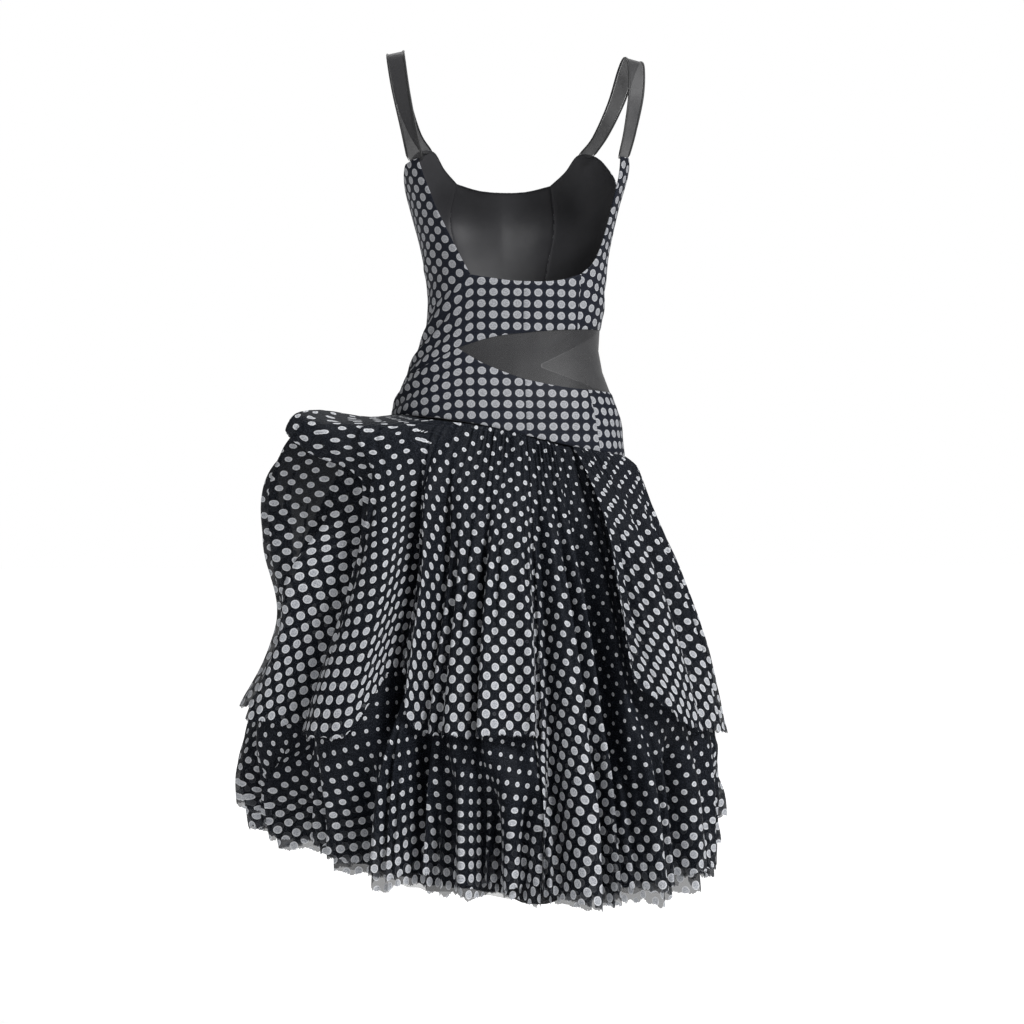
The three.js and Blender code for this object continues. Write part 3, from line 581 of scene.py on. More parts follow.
# lays the sheet flat as a ring: distance down the cloth is the ring's radius
def patternOf(points, angles, top, start):
    down = np.zeros(points.shape[:2])
    down[1:] = np.cumsum(np.linalg.norm(np.diff(points, axis=0), axis=-1), 0)
    wide = 25
    pad = np.pad(down, ((0, 0), (wide, wide)), mode="edge")
    down = np.stack([pad[:, i:i + down.shape[1]] for i in range(2 * wide + 1)]).mean(0)
    row = int(points.shape[0] * 0.78)
    steps = np.linalg.norm(np.diff(points[row], axis=0), axis=-1)
    turn = np.concatenate([[0], np.cumsum(steps)]) / (top + down[row].mean())
    turn = turn - np.interp(0 if angles[0] < 0 < angles[-1] else angles[0], angles, turn) + np.radians(start)
    ring = (top + down) * mm
    return np.stack([ring * np.sin(turn), -ring * np.cos(turn)], -1), down


# where a flat net has folded over itself, its knots move to the middle of their neighbours
def unfold(net):
    down, over = net[1:, 1:] - net[:-1, :-1], net[1:, :-1] - net[:-1, 1:]
    turned = down[..., 0] * over[..., 1] - down[..., 1] * over[..., 0]
    folded = turned * np.sign(np.median(turned)) < 0.1 * np.abs(turned).mean()
    knots = np.zeros(net.shape[:2], bool)
    for part in (knots[1:, 1:], knots[:-1, :-1], knots[1:, :-1], knots[:-1, 1:]):
        part |= folded
    pad = np.pad(net, ((1, 1), (1, 1), (0, 0)), mode="reflect", reflect_type="odd")
    middle = (pad[2:, 1:-1] + pad[:-2, 1:-1] + pad[1:-1, 2:] + pad[1:-1, :-2]) / 4
    return np.where(knots[..., None], middle, net)


# eases a flat net until its threads have the lengths asked for
def easeNet(net, wide, tall, falling, rising, rounds):
    whole, early, late = slice(None), slice(0, -1), slice(1, None)
    runs = [((whole, early), (whole, late), wide), ((early, whole), (late, whole), tall),
            ((early, early), (late, late), falling), ((early, late), (late, early), rising)]
    count = np.zeros(net.shape[:2])
    for a, b, length in runs:
        count[a] += 1
        count[b] += 1
    for number in range(rounds):
        if number % 3 == 2:
            net = unfold(net)
        move = np.zeros_like(net)
        for a, b, length in runs:
            edge = net[b] - net[a]
            now = np.linalg.norm(edge, axis=-1) + 1e-9
            pull = edge * (0.5 * (now - length) / now)[..., None]
            move[a] += pull
            move[b] -= pull
        net = net + 1.3 * move / count[..., None]
    return net


# where each place on a run lies between the chosen ones, as the lower one's number and a share of the gap
def between(run, chosen):
    low = np.clip(np.searchsorted(chosen, np.arange(len(run)), side="right") - 1, 0, len(chosen) - 2)
    start, end = run[chosen[low]], run[chosen[low + 1]]
    return low, (run - start) / (end - start + 1e-9)


# lays the cloth flat so that dots keep their size and shape, first as a coarse net, then thread by thread
def relaxPattern(points, flat):
    acrossRun, downRun = np.zeros(points.shape[:2]), np.zeros(points.shape[:2])
    acrossRun[:, 1:] = np.cumsum(np.linalg.norm(np.diff(points, axis=1), axis=-1), 1) * mm
    downRun[1:] = np.cumsum(np.linalg.norm(np.diff(points, axis=0), axis=-1), 0) * mm
    for stride, rounds in ((12, 900), (4, 300)):
        rows, columns = (np.unique(np.append(np.arange(0, n, stride), n - 1)) for n in flat.shape[:2])
        pick = np.ix_(rows, columns)
        wide, tall = np.diff(acrossRun[pick], axis=1), np.diff(downRun[pick], axis=0)
        slant = np.hypot((wide[1:] + wide[:-1]) / 2, (tall[:, 1:] + tall[:, :-1]) / 2)
        net = easeNet(flat[pick], wide, tall, slant, slant, rounds)
        low, share = zip(*(between(run, columns) for run in acrossRun))
        lowRow, shareRow = zip(*(between(run, rows) for run in downRun.T))
        low, lowRow = low[0], lowRow[0]
        share, shareRow = np.stack(share)[..., None], np.stack(shareRow, 1)[..., None]
        upper = mix(net[lowRow][:, low], net[lowRow][:, low + 1], share)
        lower = mix(net[lowRow + 1][:, low], net[lowRow + 1][:, low + 1], share)
        flat = mix(upper, lower, shareRow)
    far = lambda a, b: np.linalg.norm(a - b, axis=-1) * mm
    return easeNet(flat, far(points[:, 1:], points[:, :-1]), far(points[1:], points[:-1]),
                   far(points[1:, 1:], points[:-1, :-1]), far(points[1:, :-1], points[:-1, 1:]), fineRounds)


def gatheredPiece(settings):
    number, seed = layerOf[settings["layer"]], settings["seed"]
    angles = np.arange(settings["from"], settings["to"] + 1e-6, settings["every"])
    angles = np.append(angles, settings["to"]) if settings["to"] - angles[-1] > 1e-3 else angles
    levels = np.linspace(0, 1, settings["rows"]) ** settings.get("crowd", 1.0)
    torn = ripples(angles, [31, 47, 68], seed) + 0.7 * ripples(angles, [120, 170, 230], seed + 1)
    hem = settings["hem"](angles) + settings["ragged"] * torn
    rimGap = -0.2 if number == layerOf["overskirt"] else skirt["rimGap"]
    top = settings.get("top", seamHeight(angles) - rimGap)
    angle, level = np.meshgrid(angles, levels)
    z = mix(top * np.ones(len(angles)), hem, level)
    turned, radius = gatheredPoint(number, angle, z)
    fromHem = (1 - level) * np.abs(top - hem)
    flutter = settings["flutter"] * np.exp(-((fromHem / 38) ** 1.5))
    radius = radius + flutter * 1.3 * ripples(angle, [58, 84, 111], seed + 2)
    crumple = ripples(angle + 2 * np.sin(z / 37), [73, 96, 131], 77) * ease(dropShare(angle, z) * 4)
    radius = radius + 0.8 * ease(fromHem / 30) * crumple
    # the raised fold at the left stands up level with the hip seam
    raised = np.exp(-(((turnTo(angle) + 77) / 8) ** 2)) * np.exp(-(((z + 452) / 26) ** 2))
    points = polar(turned, radius, z + 15 * raised * ease((radius - 175) / 85))
    closed = settings.get("closed", False)
    if closed:
        points[:, -1] = points[:, 0]
    cloth, down = patternOf(points, angles, settings["ringTop"], settings["start"])
    place = np.stack([np.clip(settings["growth"](angle, z, down), 0, 1), fromHem * mm], -1)
    piece = sheetFrom(settings["name"], points, relaxPattern(points, cloth), place, closed)
    finishPiece(piece, organza, settings)


def overskirtGrowth(angle, z, down):
    return curveThrough([0, 40, 110, 200, 300, 380, 520], [0.10, 0.22, 0.42, 0.62, 0.86, 1, 1], down)


def streamerGrowth(angle, z, down):
    return curveThrough([0, 120, 300, 420, 520], [0.05, 0.25, 0.7, 0.95, 1], down)


def flounceGrowth(angle, z, down):
    # the flounces start again with their smallest dots, and only the hems carry large ones
    return mix(0.03, 1, ease((outerHem(angle) + 175 - z) / 190))


def streamerHem(angle):
    return -984 + 8 * np.cos(np.radians((angle + 3) * 12))


def outerHem(angle):
    return curveThrough(flounce["hemAngle"], flounce["outerZ"], turnTo(angle), True)


def innerHem(angle):
    return curveThrough(flounce["hemAngle"], flounce["innerZ"], turnTo(angle), True)


gatheredPiece({
    "name": "overskirtLeft", "node": "overskirt_left", "layer": "overskirt", "seed": 41,
    "from": -179.8, "to": -0.4, "every": 0.36, "rows": 100, "crowd": 1.45,
    "hem": overskirtHem, "ragged": 3.0, "flutter": 2.2,
    "ringTop": 115, "start": -38, "growth": overskirtGrowth,
    "flat": (0.85, 0.96), "area": 0.434, "on": ["hipYokeLeft", "frontSideLeft", "flounceOuter"]})
gatheredPiece({
    "name": "overskirtRight", "node": "overskirt_right", "layer": "overskirt", "seed": 51,
    "from": 28.6, "to": 179.8, "every": 0.36, "rows": 96,
    "hem": overskirtHem, "ragged": 3.0, "flutter": 2.2,
    "ringTop": 120, "start": 30, "growth": overskirtGrowth,
    "flat": (0.46, 0.89), "area": 0.256, "on": ["hipSideRight", "frontSideRightLower", "flounceOuter"]})
gatheredPiece({
    "name": "backStreamer", "node": "back_streamer", "layer": "streamer", "seed": 61,
    "from": -3, "to": 17, "every": 0.25, "rows": 130,
    "hem": streamerHem, "ragged": 2.5, "flutter": 2.0,
    "ringTop": 150, "start": 20, "growth": streamerGrowth,
    "flat": (0.38, 0.55), "area": 0.076, "on": ["hipYokeRight", "flounceOuter"]})
print("overskirt done")
gatheredPiece({
    "name": "flounceOuter", "node": "flounce_outer", "layer": "outerFlounce", "seed": 71,
    "from": -180, "to": 180, "every": 0.45, "rows": 104, "closed": True,
    "hem": outerHem, "ragged": 4.0, "flutter": 2.4,
    "ringTop": 260, "start": 10, "growth": flounceGrowth,
    "flat": (1.60, 1.25), "area": 1.14, "on": ["skirtLining", "flounceInner"]})
gatheredPiece({
    "name": "flounceInner", "node": "flounce_inner", "layer": "innerFlounce", "seed": 81,
    "from": -180, "to": 180, "every": 0.5, "rows": 84, "closed": True,
    "top": -556.0, "hem": innerHem, "ragged": 4.0, "flutter": 2.4,
    "ringTop": 300, "start": 32, "growth": flounceGrowth,
    "flat": (1.46, 1.40), "area": 1.14, "on": ["tullePetticoat"]})


def underskirt(settings):
    angles = np.linspace(-180, 180, settings["columns"])
    angle, level = np.meshgrid(angles, np.linspace(0, 1, settings["rows"]))
    # the hem hangs lowest at the centre back and rises over the left hip
    atBack = np.exp(-(((turnTo(angles) + 1) / 10) ** 2))
    atLeft = np.exp(-((turnTo(angles + 85) / 50) ** 2))
    hem = settings["hemZ"] + settings["shorter"] * (1 - atBack) + 22 * atLeft
    hem = hem + 2 * ripples(angles, [21, 37], settings["seed"])
    z = mix(seamHeight(angles) - skirt["rimGap"], hem, level)
    waves = settings["wave"] * ripples(angle, settings["waves"], settings["seed"] + 1)
    radius = floorRadius(layerOf[settings["layer"]], angle, z) + waves * ease(level * 1.4)
    points = polar(angle, radius, z)
    points[:, -1] = points[:, 0]
    cloth, down = patternOf(points, angles, 150, 0)
    piece = sheetFrom(settings["name"], points, cloth, None, True)
    finishPiece(piece, settings["material"], settings)


underskirt({
    "name": "tullePetticoat", "node": "petticoat", "layer": "petticoat",
    "material": tulle, "slot": "tulle", "columns": 541, "rows": 46,
    "hemZ": -996, "shorter": 4, "wave": 2.6, "waves": [40, 63, 90], "seed": 91,
    "flat": (1.27, 0.63), "area": 0.57, "on": ["skirtLining", "hipYokeLeft"]})
underskirt({
    "name": "skirtLining", "node": "lining", "layer": "lining",
    "material": liningCloth, "slot": "lining_satin", "columns": 181, "rows": 30,
    "hemZ": -1000, "shorter": 13, "wave": 1.2, "waves": [14, 22], "seed": 95,
    "flat": (1.20, 0.61), "area": 0.53, "on": ["hipYokeLeft", "hipYokeRight", "frontCentre"]})
print("skirt done")


# Bodice. Edges are short runs of (angle, height) points; each run is a smooth curve of its own.
sideLeft, sideRight, princessBack, princessFront = -100, 92, 48.5, 150
frontLeft, frontSeamLeft = 260, 210
armholeBackLeft = [(-79, -141), (-89, -158), (-97, -170), (-100, -178)]
armholeBackRight = [(76, -128), (85, -149), (92, -173)]
neckBackLeft = [(-68, -137), (-65, -165), (-62, -192), (-58, -216), (-53.5, -238), (-49, -257),
                (-43.5, -276)]
neckBackRight = [(66, -130), (67, -158), (67, -186), (66.5, -210), (64, -236), (58, -258), (48.5, -273)]
diagonalUpper = [(-100, -336), (-81, -316), (-62, -296), (-43.5, -276)]
neckBandLeft = [(-43.5, -276), (-29, -280), (-14, -283), (0, -284)]
diagonalLower = [(-100, -417), (-84, -399), (-68, -381), (-52, -363)]
crescentTopLeft = [(-52, -363), (-35, -353), (-17, -347.5), (0, -345)]
crescentFootLeft = [(-52, -363), (-35, -380), (-17, -392), (0, -401)]
crescentTopFront = [(92, -335), (111, -344), (130, -357), (149.6, -371)]
crescentFootFront = [(92, -413), (111, -402), (130, -388), (149.6, -375)]
topFrontRight = [(92, -173), (103, -152), (113, -128), (121, -110), (131, -106), (140, -126), (150, -142)]
neckFront = [(150, -142), (165, -149), (180, -151), (195, -149), (210, -142)]
topFrontLeft = [(210, -142), (220, -126), (229, -106), (239, -110), (246, -128), (253, -154), (260, -178)]


def straight(start, end):
    return [start, ((start[0] + end[0]) / 2, (start[1] + end[1]) / 2), end]


# A panel's edges that fall straight down at one angle, to a height or to the hip seam,
# and its foot, which runs a little above that seam
hipRoom = 0.35


def seamDown(angle, high, low):
    return straight((angle, high), (angle, low))


def seamToHip(angle, high):
    return seamDown(angle, high, seamHeight(angle) + hipRoom)


def hipSeam(start, end):
    return [(a, seamHeight(a) + hipRoom) for a in np.linspace(start, end, 9)]


def along(edge, share):
    spans = np.array([len(run) - 1 for run in edge])
    starts = np.concatenate([[0], np.cumsum(spans)])
    place = np.clip(share, 0, 1) * starts[-1]
    result = np.zeros((2, *np.shape(share)))
    for n, run in enumerate(edge):
        here = (place >= starts[n]) & (place <= starts[n + 1])
        for axis in (0, 1):
            values = curveThrough(np.arange(len(run)), [point[axis] for point in run], place - starts[n])
            result[axis] = np.where(here, values, result[axis])
    return result


# the girth of the figure, measured from the centre back round to the right, at every height
girthAngles = np.arange(-110, 271, 1.0)
girthHeights = np.arange(-520, -59, 5.0)
girthAngle, girthZ = np.meshgrid(girthAngles, girthHeights)
girthPoints = polar(girthAngle, torsoRadius(girthAngle, girthZ), girthZ)
girth = np.zeros(girthAngle.shape)
girth[:, 1:] = np.cumsum(np.linalg.norm(np.diff(girthPoints, axis=1), axis=-1), 1)


def girthAt(angle, z):
    a = np.clip(angle - girthAngles[0], 0, len(girthAngles) - 1.001)
    h = np.clip((z - girthHeights[0]) / 5, 0, len(girthHeights) - 1.001)
    i, j = a.astype(int), h.astype(int)
    fa, fh = a - i, h - j
    return mix(mix(girth[j, i], girth[j, i + 1], fa), mix(girth[j + 1, i], girth[j + 1, i + 1], fa), fh)


# Creases: a soft ridge (or trough, where the height is negative) from one point to another
bodiceCreases = [
    # on the left back they fan down from the corner of the neckline and from the tip of the mesh
    {"from": (-45, -283), "to": (-97, -352), "half": 6.0, "height": 3.5},
    {"from": (-47, -292), "to": (-97, -368), "half": 4.5, "height": -2.9},
    {"from": (-50, -305), "to": (-98, -384), "half": 5.5, "height": 2.6},
    {"from": (-52, -322), "to": (-98, -399), "half": 4.5, "height": -2.1},
    {"from": (-50, -338), "to": (-90, -402), "half": 5.0, "height": 1.9},
    {"from": (-53, -369), "to": (-98, -428), "half": 5.0, "height": 2.6},
    {"from": (-50, -376), "to": (-96, -444), "half": 4.5, "height": -2.2},
    {"from": (-46, -386), "to": (-88, -456), "half": 5.5, "height": 1.9},
    {"from": (-62, -262), "to": (-98, -300), "half": 6.0, "height": -1.6},
    {"from": (-66, -240), "to": (-98, -268), "half": 7.0, "height": 1.6},
    {"from": (-24, -296), "to": (-40, -345), "half": 7.0, "height": 1.1},
    {"from": (60, -300), "to": (92, -322), "half": 8.0, "height": 1.4},
    {"from": (62, -282), "to": (92, -296), "half": 7.0, "height": -1.3},
    {"from": (100, -290), "to": (140, -312), "half": 9.0, "height": 1.4},
    {"from": (104, -318), "to": (146, -340), "half": 7.0, "height": -1.3},
    {"from": (60, -428), "to": (90, -470), "half": 9.0, "height": 1.3},
    {"from": (110, -420), "to": (146, -452), "half": 9.0, "height": -1.3},
    {"from": (216, -290), "to": (258, -330), "half": 7.0, "height": 1.9},
    {"from": (218, -312), "to": (258, -356), "half": 6.0, "height": -1.8},
    {"from": (214, -338), "to": (256, -388), "half": 8.0, "height": 1.6},
    {"from": (156, -330), "to": (204, -342), "half": 9.0, "height": 1.1},
    {"from": (158, -352), "to": (202, -362), "half": 7.0, "height": -1.1},
]


def creaseHeight(angle, z):
    across = 2.0  # millimetres of girth to a degree, near enough
    total = 0.25 * np.sin(angle * 0.21 + z * 0.033) * np.sin(z * 0.071 - angle * 0.05)
    for crease in bodiceCreases:
        (a0, z0), (a1, z1) = crease["from"], crease["to"]
        run = np.array([(a1 - a0) * across, z1 - z0])
        length = np.hypot(*run)
        x, y = (angle - a0) * across, z - z0
        place = (x * run[0] + y * run[1]) / length**2
        off = (x * run[1] - y * run[0]) / length + 0.05 * length * np.sin(place * 3.0)
        fade = ease((place + 0.03) / 0.25) * ease((1.12 - place) / 0.35)
        total = total + crease["height"] * fade * np.exp(-((off / crease["half"]) ** 2))
    return total


def spacing(length, step, near=(0, 0.5, 1.2, 2.2, 3.6)):
    near = np.asarray(near, float)
    if length < 4 * near[-1]:
        return np.linspace(0, 1, max(4, int(length / 1.2)))
    count = max(2, int(round((length - 2 * near[-1]) / step)))
    inner = np.linspace(near[-1], length - near[-1], count + 1)[1:-1]
    return np.concatenate([near, inner, length - near[::-1]]) / length


def edgesAt(edges, acrossShare, downShare):
    shares = {"left": downShare, "right": downShare, "top": acrossShare, "bottom": acrossShare}
    return (along(edges[name], share) for name, share in shares.items())


def panelPoints(edges, step, gap, dip, lift=0.0):
    mid = lambda name: along(edges[name], np.linspace(0, 1, 41))
    flat = lambda pair: polar(pair[0], torsoRadius(pair[0], pair[1]), pair[1])
    lengthOf = lambda name: np.linalg.norm(np.diff(flat(mid(name)), axis=0), axis=-1).sum()
    acrossLength = max(lengthOf("top"), lengthOf("bottom"))
    downLength = max(lengthOf("left"), lengthOf("right"))
    u, v = np.meshgrid(spacing(acrossLength, step), spacing(downLength, step))
    # the room between the edges, so that the seam allowance is the same all round
    left, right, top, bottom = edgesAt(edges, u, v)
    wide = np.linalg.norm(flat(left) - flat(right), axis=-1) + 1e-6
    tall = np.linalg.norm(flat(top) - flat(bottom), axis=-1) + 1e-6
    s, t = mix(gap / wide, 1 - gap / wide, u), mix(gap / tall, 1 - gap / tall, v)
    near, far, head, foot = edgesAt(edges, s, t)
    corner = lambda point: np.array(point, float)[:, None, None]
    upper, lower = (mix(corner(edges[n][0][0]), corner(edges[n][-1][-1]), s) for n in ("top", "bottom"))
    angle, z = mix(head, foot, t) + mix(near, far, s) - mix(upper, lower, t)
    rim = np.minimum(np.minimum(u, 1 - u) * wide, np.minimum(v, 1 - v) * tall)
    radius = torsoRadius(angle, z) + lift + creaseHeight(angle, z) * ease(rim / 9)
    radius = radius - dip * np.exp(-((rim / 1.5) ** 2))
    return angle, z, polar(angle, radius, z), rim


def bodicePanel(settings):
    angle, z, points, rim = panelPoints(settings["edges"], 4.0, 0.08, 0.75)
    across = girthAt(angle, z) - girthAt(np.full_like(z, settings["centre"]), z)
    down = -z * 1.075
    slant = settings.get("slant")
    if slant:
        down = down - slant["rate"] * np.clip(slant["before"] - angle, 0, None) * 1.75
    turn = np.radians(settings["grain"])
    cloth = np.stack([across * np.cos(turn) - down * np.sin(turn) + settings["offset"][0],
                      across * np.sin(turn) + down * np.cos(turn) + settings["offset"][1]], -1) * mm
    place = np.stack([rim * mm, np.zeros_like(rim)], -1)
    piece = sheetFrom(settings["name"], points, cloth, place)
    piece.data.materials.append(satin)
    piece.data.materials.append(bodiceInside)
    bpy.context.view_layer.objects.active = piece
    wall = piece.modifiers.new("wall", "SOLIDIFY")
    wall.thickness, wall.offset = 0.0011, 0
    wall.use_even_offset, wall.material_offset = True, 1
    piece.select_set(True)
    bpy.ops.object.modifier_apply(modifier="wall")
    bpy.ops.object.shade_smooth_by_angle(angle=math.radians(50))
    finishPiece(piece, None, settings)


bodicePanels = [
    {"name": "backSideLeft", "node": "back_side_left", "centre": -70, "grain": 35, "offset": (4, 3),
     "flat": (0.173, 0.159), "area": 0.0153, "on": ["strapLeft", "backBandLeft"],
     "edges": {"top": [straight((-79, -141), (-68, -137))], "bottom": [diagonalUpper],
               "left": [armholeBackLeft + [(-100, -204), (-100, -250), (-100, -290), (-100, -336)]],
               "right": [neckBackLeft]}},
    {"name": "backBandLeft", "node": "back_band_left", "centre": 0, "grain": 0, "offset": (0.5, 2),
     "flat": (0.215, 0.098), "area": 0.0151, "on": ["backSideLeft", "backBandRight"],
     "slant": {"rate": 0.55, "before": -44},
     "edges": {"top": [diagonalUpper, neckBandLeft], "bottom": [diagonalLower, crescentTopLeft],
               "left": [seamDown(sideLeft, -336, -417)], "right": [seamDown(0, -284, -345)]}},
    {"name": "hipYokeLeft", "node": "hip_yoke_left", "centre": 0, "grain": 0, "offset": (0.5, 2),
     "flat": (0.228, 0.118), "area": 0.0147, "on": ["backBandLeft", "cutoutMesh"],
     "slant": {"rate": 0.35, "before": -44},
     "edges": {"top": [diagonalLower, crescentFootLeft], "bottom": [hipSeam(sideLeft, 0)],
               "left": [seamToHip(sideLeft, -417)], "right": [seamToHip(0, -401)]}},
    {"name": "backBandRight", "node": "back_band_right", "centre": 0, "grain": 0, "offset": (4, 2),
     "flat": (0.074, 0.078), "area": 0.0046, "on": ["backSideRight", "cutoutMesh"],
     "edges": {"top": [[(0, -284), (16, -284), (33, -281), (48.5, -273)]],
               "bottom": [[(0, -345), (16, -342.5), (33, -340.5), (48.5, -339)]],
               "left": [seamDown(0, -284, -345)], "right": [seamDown(princessBack, -273, -339)]}},
    {"name": "backSideRight", "node": "back_side_right", "centre": 70, "grain": -14, "offset": (2, 5),
     "flat": (0.102, 0.233), "area": 0.0139, "on": ["strapRight", "cutoutMesh"],
     "edges": {"top": [straight((66, -130), (76, -128))], "bottom": [straight((48.5, -339), (92, -335))],
               "left": [neckBackRight, [(48.5, -273), (48.5, -306), (48.5, -339)]],
               "right": [armholeBackRight + [(92, -196), (92, -240), (92, -290), (92, -335)]]}},
    {"name": "hipYokeRight", "node": "hip_yoke_right", "centre": 0, "grain": 0, "offset": (4, 2),
     "flat": (0.095, 0.091), "area": 0.0066, "on": ["cutoutMesh", "hipYokeLeft"],
     "edges": {"top": [[(0, -401), (16, -406), (32, -410), (48, -412)]], "bottom": [hipSeam(0, 48)],
               "left": [seamToHip(0, -401)], "right": [seamToHip(48, -412)]}},
    {"name": "hipSideRight", "node": "hip_side_right", "centre": 48, "grain": 0, "offset": (6, 9),
     "flat": (0.102, 0.084), "area": 0.0079, "on": ["cutoutMesh", "hipYokeRight"],
     "edges": {"top": [[(48, -412), (63, -413), (78, -413), (92, -413)]], "bottom": [hipSeam(48, sideRight)],
               "left": [seamToHip(48, -412)], "right": [seamToHip(sideRight, -413)]}},
    {"name": "frontSideRightUpper", "node": "front_side_right_upper",
     "centre": 121, "grain": 0, "offset": (0, 4),
     "flat": (0.133, 0.286), "area": 0.028, "on": ["strapRight", "frontCentre"],
     "edges": {"top": [topFrontRight], "bottom": [crescentTopFront],
               "left": [seamDown(sideRight, -173, -335)], "right": [seamDown(princessFront, -142, -371)]}},
    {"name": "frontSideRightLower", "node": "front_side_right_lower",
     "centre": 121, "grain": 0, "offset": (0, 4),
     "flat": (0.128, 0.123), "area": 0.0114, "on": ["cutoutMesh", "frontCentre"],
     "edges": {"top": [crescentFootFront], "bottom": [hipSeam(sideRight, princessFront)],
               "left": [seamToHip(sideRight, -413)], "right": [seamToHip(princessFront, -375)]}},
    {"name": "frontCentre", "node": "front_centre", "centre": 180, "grain": 0, "offset": (7, 0),
     "flat": (0.138, 0.358), "area": 0.036, "on": ["frontSideLeft", "frontSideRightUpper"],
     "edges": {"top": [neckFront], "bottom": [hipSeam(princessFront, frontSeamLeft)],
               "left": [seamToHip(princessFront, -142)], "right": [seamToHip(frontSeamLeft, -142)]}},
    {"name": "frontSideLeft", "node": "front_side_left", "centre": 235, "grain": 0, "offset": (3, 8),
     "flat": (0.123, 0.37), "area": 0.0351, "on": ["strapLeft", "frontCentre"],
     "edges": {"top": [topFrontLeft], "bottom": [hipSeam(frontSeamLeft, frontLeft)],
               "left": [seamToHip(frontSeamLeft, -142)], "right": [seamToHip(frontLeft, -178)]}},
]
for settings in bodicePanels:
    bodicePanel(settings)

crescent = {"node": "cutout_mesh", "flat": (0.338, 0.079), "area": 0.018,
            "on": ["hipYokeLeft", "frontCentre"]}
crescentEdges = {
    "top": [[(-50, -361.9), (-35, -353), (-17, -347.5), (0, -345), (16, -342.5), (33, -340.5), (48.5, -339),
             (70, -337), (92, -335), (111, -344), (130, -357), (149.6, -371)]],
    "bottom": [[(-50, -364.9), (-35, -380), (-17, -392), (0, -401), (16, -406), (32, -410), (48, -412),
                (70, -413), (92, -413), (111, -402), (130, -388), (149.6, -375)]],
    "left": [seamDown(-50, -361.9, -364.9)], "right": [seamDown(149.6, -371, -375)],
}
angle, z, points, rim = panelPoints(crescentEdges, 4.0, 0.2, 0.0, -0.9)
cutoutMesh = sheetFrom("cutoutMesh", points, np.stack([girthAt(angle, z), z], -1) * mm)
finishPiece(cutoutMesh, stretchMesh, crescent)
print("bodice done")

# Straps: a band of mesh over each shoulder with a piping on either edge
strapPath = {
    "x": [126.8, 134, 143, 147, 146, 143, 134, 118, 102.5], "y": [-43.4, -44, -37, -17, 2, 22, 44, 64, 74.3],
    "z": [-127.5, -98, -52, -12, -1, -10, -46, -84, -106], "width": [23, 18, 17, 17, 17, 17, 17, 19, 21],
    "turn": [54, 40, 22, 6, 0, -8, -26, -42, -50], "tilt": [4, 2, -2, -10, -14, -10, -4, 0, -10],
}


def strapPoint(side, across, beyond, share):
    share = np.asarray(share, float)
    at = lambda name: curveThrough(np.linspace(0, 1, 9), strapPath[name], share)
    turn, tilt = np.radians(at("turn")), np.radians(at("tilt"))
    reach = across * at("width") / 2 + np.sign(across) * beyond
    low = -8 * np.exp(-share * 6) if side < 0 else 0
    x = side * (at("x") + reach * np.cos(turn) * np.cos(tilt))
    y = at("y") + reach * np.sin(turn) * np.cos(tilt)
    return np.stack([x, y, at("z") + low + reach * np.sin(tilt)], -1)


# the ends run on a little way behind the bodice
def tuckEnds(points, reach=4.0):
    for end, near in ((0, 1), (-1, -2)):
        run = points[end] - points[near]
        run = run / np.linalg.norm(run, axis=-1, keepdims=True)
        inwards = points[end] * np.array([1, 1, 0]) / 140
        points[end] = points[end] + run * reach - inwards * 1.2
    return points


def strapBand(name, side):
    across, share = np.meshgrid(np.linspace(-1, 1, 13) * side, np.linspace(0, 1, 90))
    points = tuckEnds(strapPoint(side, across, 0, share))
    down = np.zeros(points.shape[:2])
    down[1:] = np.cumsum(np.linalg.norm(np.diff(points, axis=0), axis=-1), 0)
    return sheetFrom(name, points, np.stack([across * 9.0, down], -1) * mm)


def strapPiping(name, side, across):
    share = np.linspace(0, 1, 90)
    near, far = strapPoint(side, across, 0.15, share), strapPoint(side, across, 2.9, share)
    near, far = tuckEnds(near), tuckEnds(far)
    middle, reach = (near + far) / 2, (far - near) / 2
    run = np.gradient(middle, axis=0)
    normal = np.cross(reach, run)
    normal = normal / np.linalg.norm(normal, axis=-1, keepdims=True) * 1.15
    around = np.linspace(0, 2 * np.pi, 13) * side * across * -1
    full = np.minimum(1, np.minimum(share, 1 - share) / 0.012)[:, None, None] ** 0.5
    turns = around[None, :, None]
    points = middle[:, None] + full * (reach[:, None] * np.cos(turns) + normal[:, None] * np.sin(turns))
    points[:, -1] = points[:, 0]
    down = np.concatenate([[0], np.cumsum(np.linalg.norm(np.diff(middle, axis=0), axis=-1))])
    cloth = np.stack(np.broadcast_arrays(np.abs(around)[None, :] * 1.1, down[:, None]), -1) * mm
    return sheetFrom(name, points, cloth, None, True)


straps = [
    {"name": "Right", "side": 1, "node": "strap_right",
     "flat": (0.018, 0.305), "on": ["frontSideRightUpper"]},
    {"name": "Left", "side": -1, "node": "strap_left",
     "flat": (0.018, 0.305), "on": ["frontSideLeft"]},
]
for settings in straps:
    name, side = settings["name"], settings["side"]
    finishPiece(strapBand("strap" + name, side), strapNet, settings)
    for edge, across in (("Neck", -1), ("Arm", 1)):
        piping = strapPiping("strapPiping" + name + edge, side, across)
        node = "strap_piping_" + name.lower() + "_" + edge.lower()
        finishPiece(piping, pipingCloth, {"node": node})
print("straps done")

# Camera, floor and light
view = {"eye": (-0.3479, -2.4757, -0.5575), "turn": -8, "lens": 72, "sensor": 36, "shift": -0.003}
bpy.ops.object.camera_add(location=view["eye"], rotation=(math.radians(90), 0, math.radians(view["turn"])))
camera = bpy.context.object
camera.data.lens, camera.data.sensor_width, camera.data.shift_x = view["lens"], view["sensor"], view["shift"]
bpy.context.scene.camera = camera
camera.select_set(False)

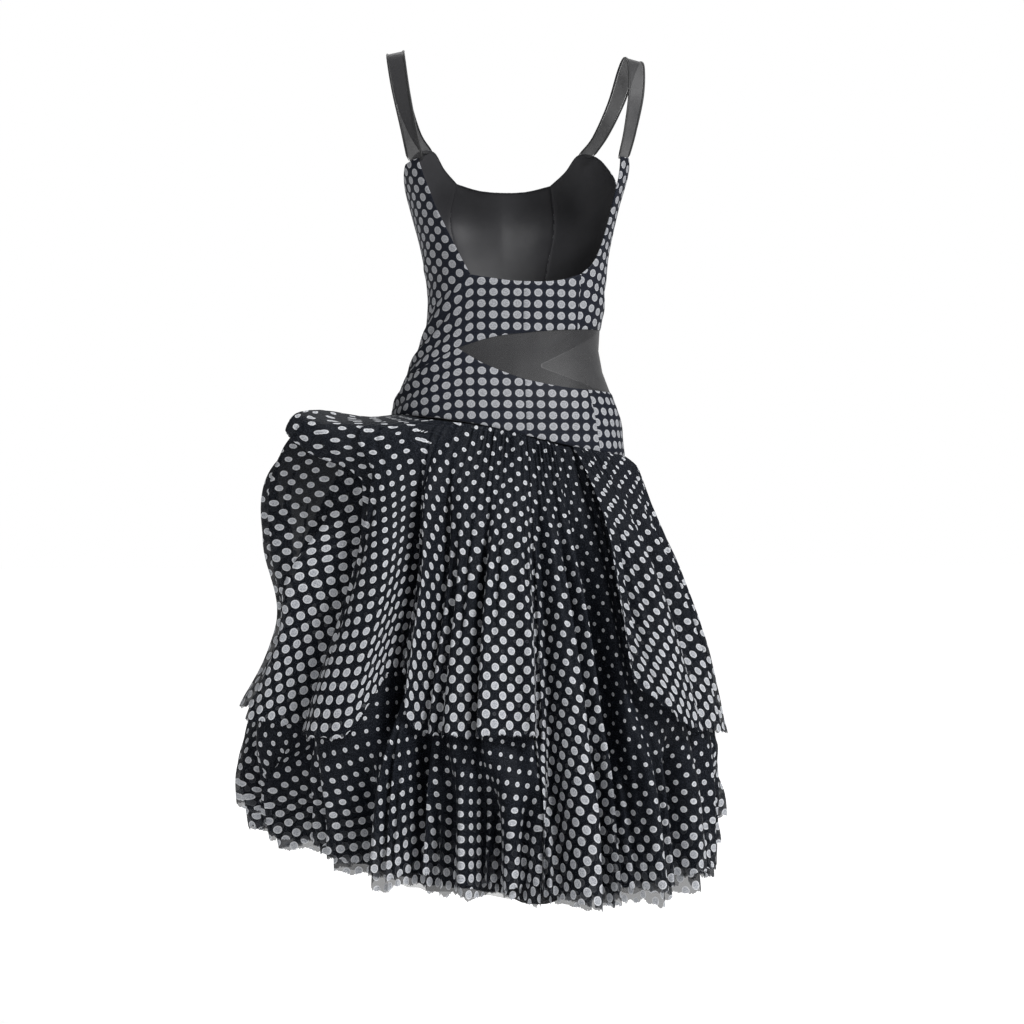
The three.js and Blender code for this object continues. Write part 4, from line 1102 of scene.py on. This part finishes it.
# the floor glows more with distance, so that no horizon shows
room = {"floorZ": -1.45, "size": 60.0, "paint": grey(0.9), "glow": (0.42, 0.85), "near": 1.6, "far": 4.5}
bpy.ops.mesh.primitive_plane_add(size=1)
floor = bpy.context.object
floor.name = "floor"
bpy.ops.transform.resize(value=(room["size"], room["size"], 1))
bpy.ops.object.transform_apply(location=True, rotation=True, scale=True)
bpy.ops.object.mode_set(mode="EDIT")
bpy.ops.mesh.select_all(action="SELECT")
bpy.ops.transform.translate(value=(0, 0, room["floorZ"]))
bpy.ops.object.mode_set(mode="OBJECT")
pale = bpy.data.materials.new("paleFloor")
pale.use_nodes = True
paleShader = pale.node_tree.nodes["Principled BSDF"]
paleShader.inputs["Base Color"].default_value = room["paint"]
paleShader.inputs["Roughness"].default_value = 0.9
paleShader.inputs["Emission Color"].default_value = (1, 1, 1, 1)
glow = Graph(pale.node_tree)
away = glow.vector("LENGTH", glow.put("ShaderNodeTexCoord").outputs["Object"])
glow.join(glow.range(away, room["near"], room["far"], *room["glow"]), paleShader, "Emission Strength")
floor.data.materials.append(pale)
floor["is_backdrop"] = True
floor.select_set(False)

scene = bpy.context.scene
scene.view_settings.view_transform = "Standard"
world = bpy.data.worlds.new("studio")
world.use_nodes = True
sky = Graph(world.node_tree)
background = world.node_tree.nodes["Background"]
background.inputs["Color"].default_value = (1, 1, 1, 1)
seen = sky.put("ShaderNodeLightPath").outputs["Is Camera Ray"]
sky.join(sky.range(seen, 0.0, 1.0, 0.24, 1.0, smooth=False), background, "Strength")
scene.world = world
scene.cycles.transparent_max_bounces = 24

lights = [
    {"place": (1.5, -2.1, 2.0), "aim": (0, 0, -0.6), "size": 0.8, "power": 160},
    {"place": (-2.0, -2.4, 0.8), "aim": (0, 0, -0.6), "size": 1.6, "power": 14},
    {"place": (0.2, 1.8, 2.2), "aim": (0, 0, -0.5), "size": 1.5, "power": 40},
]
for settings in lights:
    bpy.ops.object.light_add(type="AREA", location=settings["place"])
    lamp = bpy.context.object
    lamp.data.size, lamp.data.energy = settings["size"], settings["power"]
    away = np.subtract(settings["place"], settings["aim"])
    lamp.rotation_euler = (math.acos(away[2] / np.linalg.norm(away)), 0, math.atan2(away[0], -away[1]))
    lamp.select_set(False)
print("stage done")

bpy.context.view_layer.update()
{"cad": [list(corner) for corner in cadBox], "visual": [list(corner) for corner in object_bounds()]}
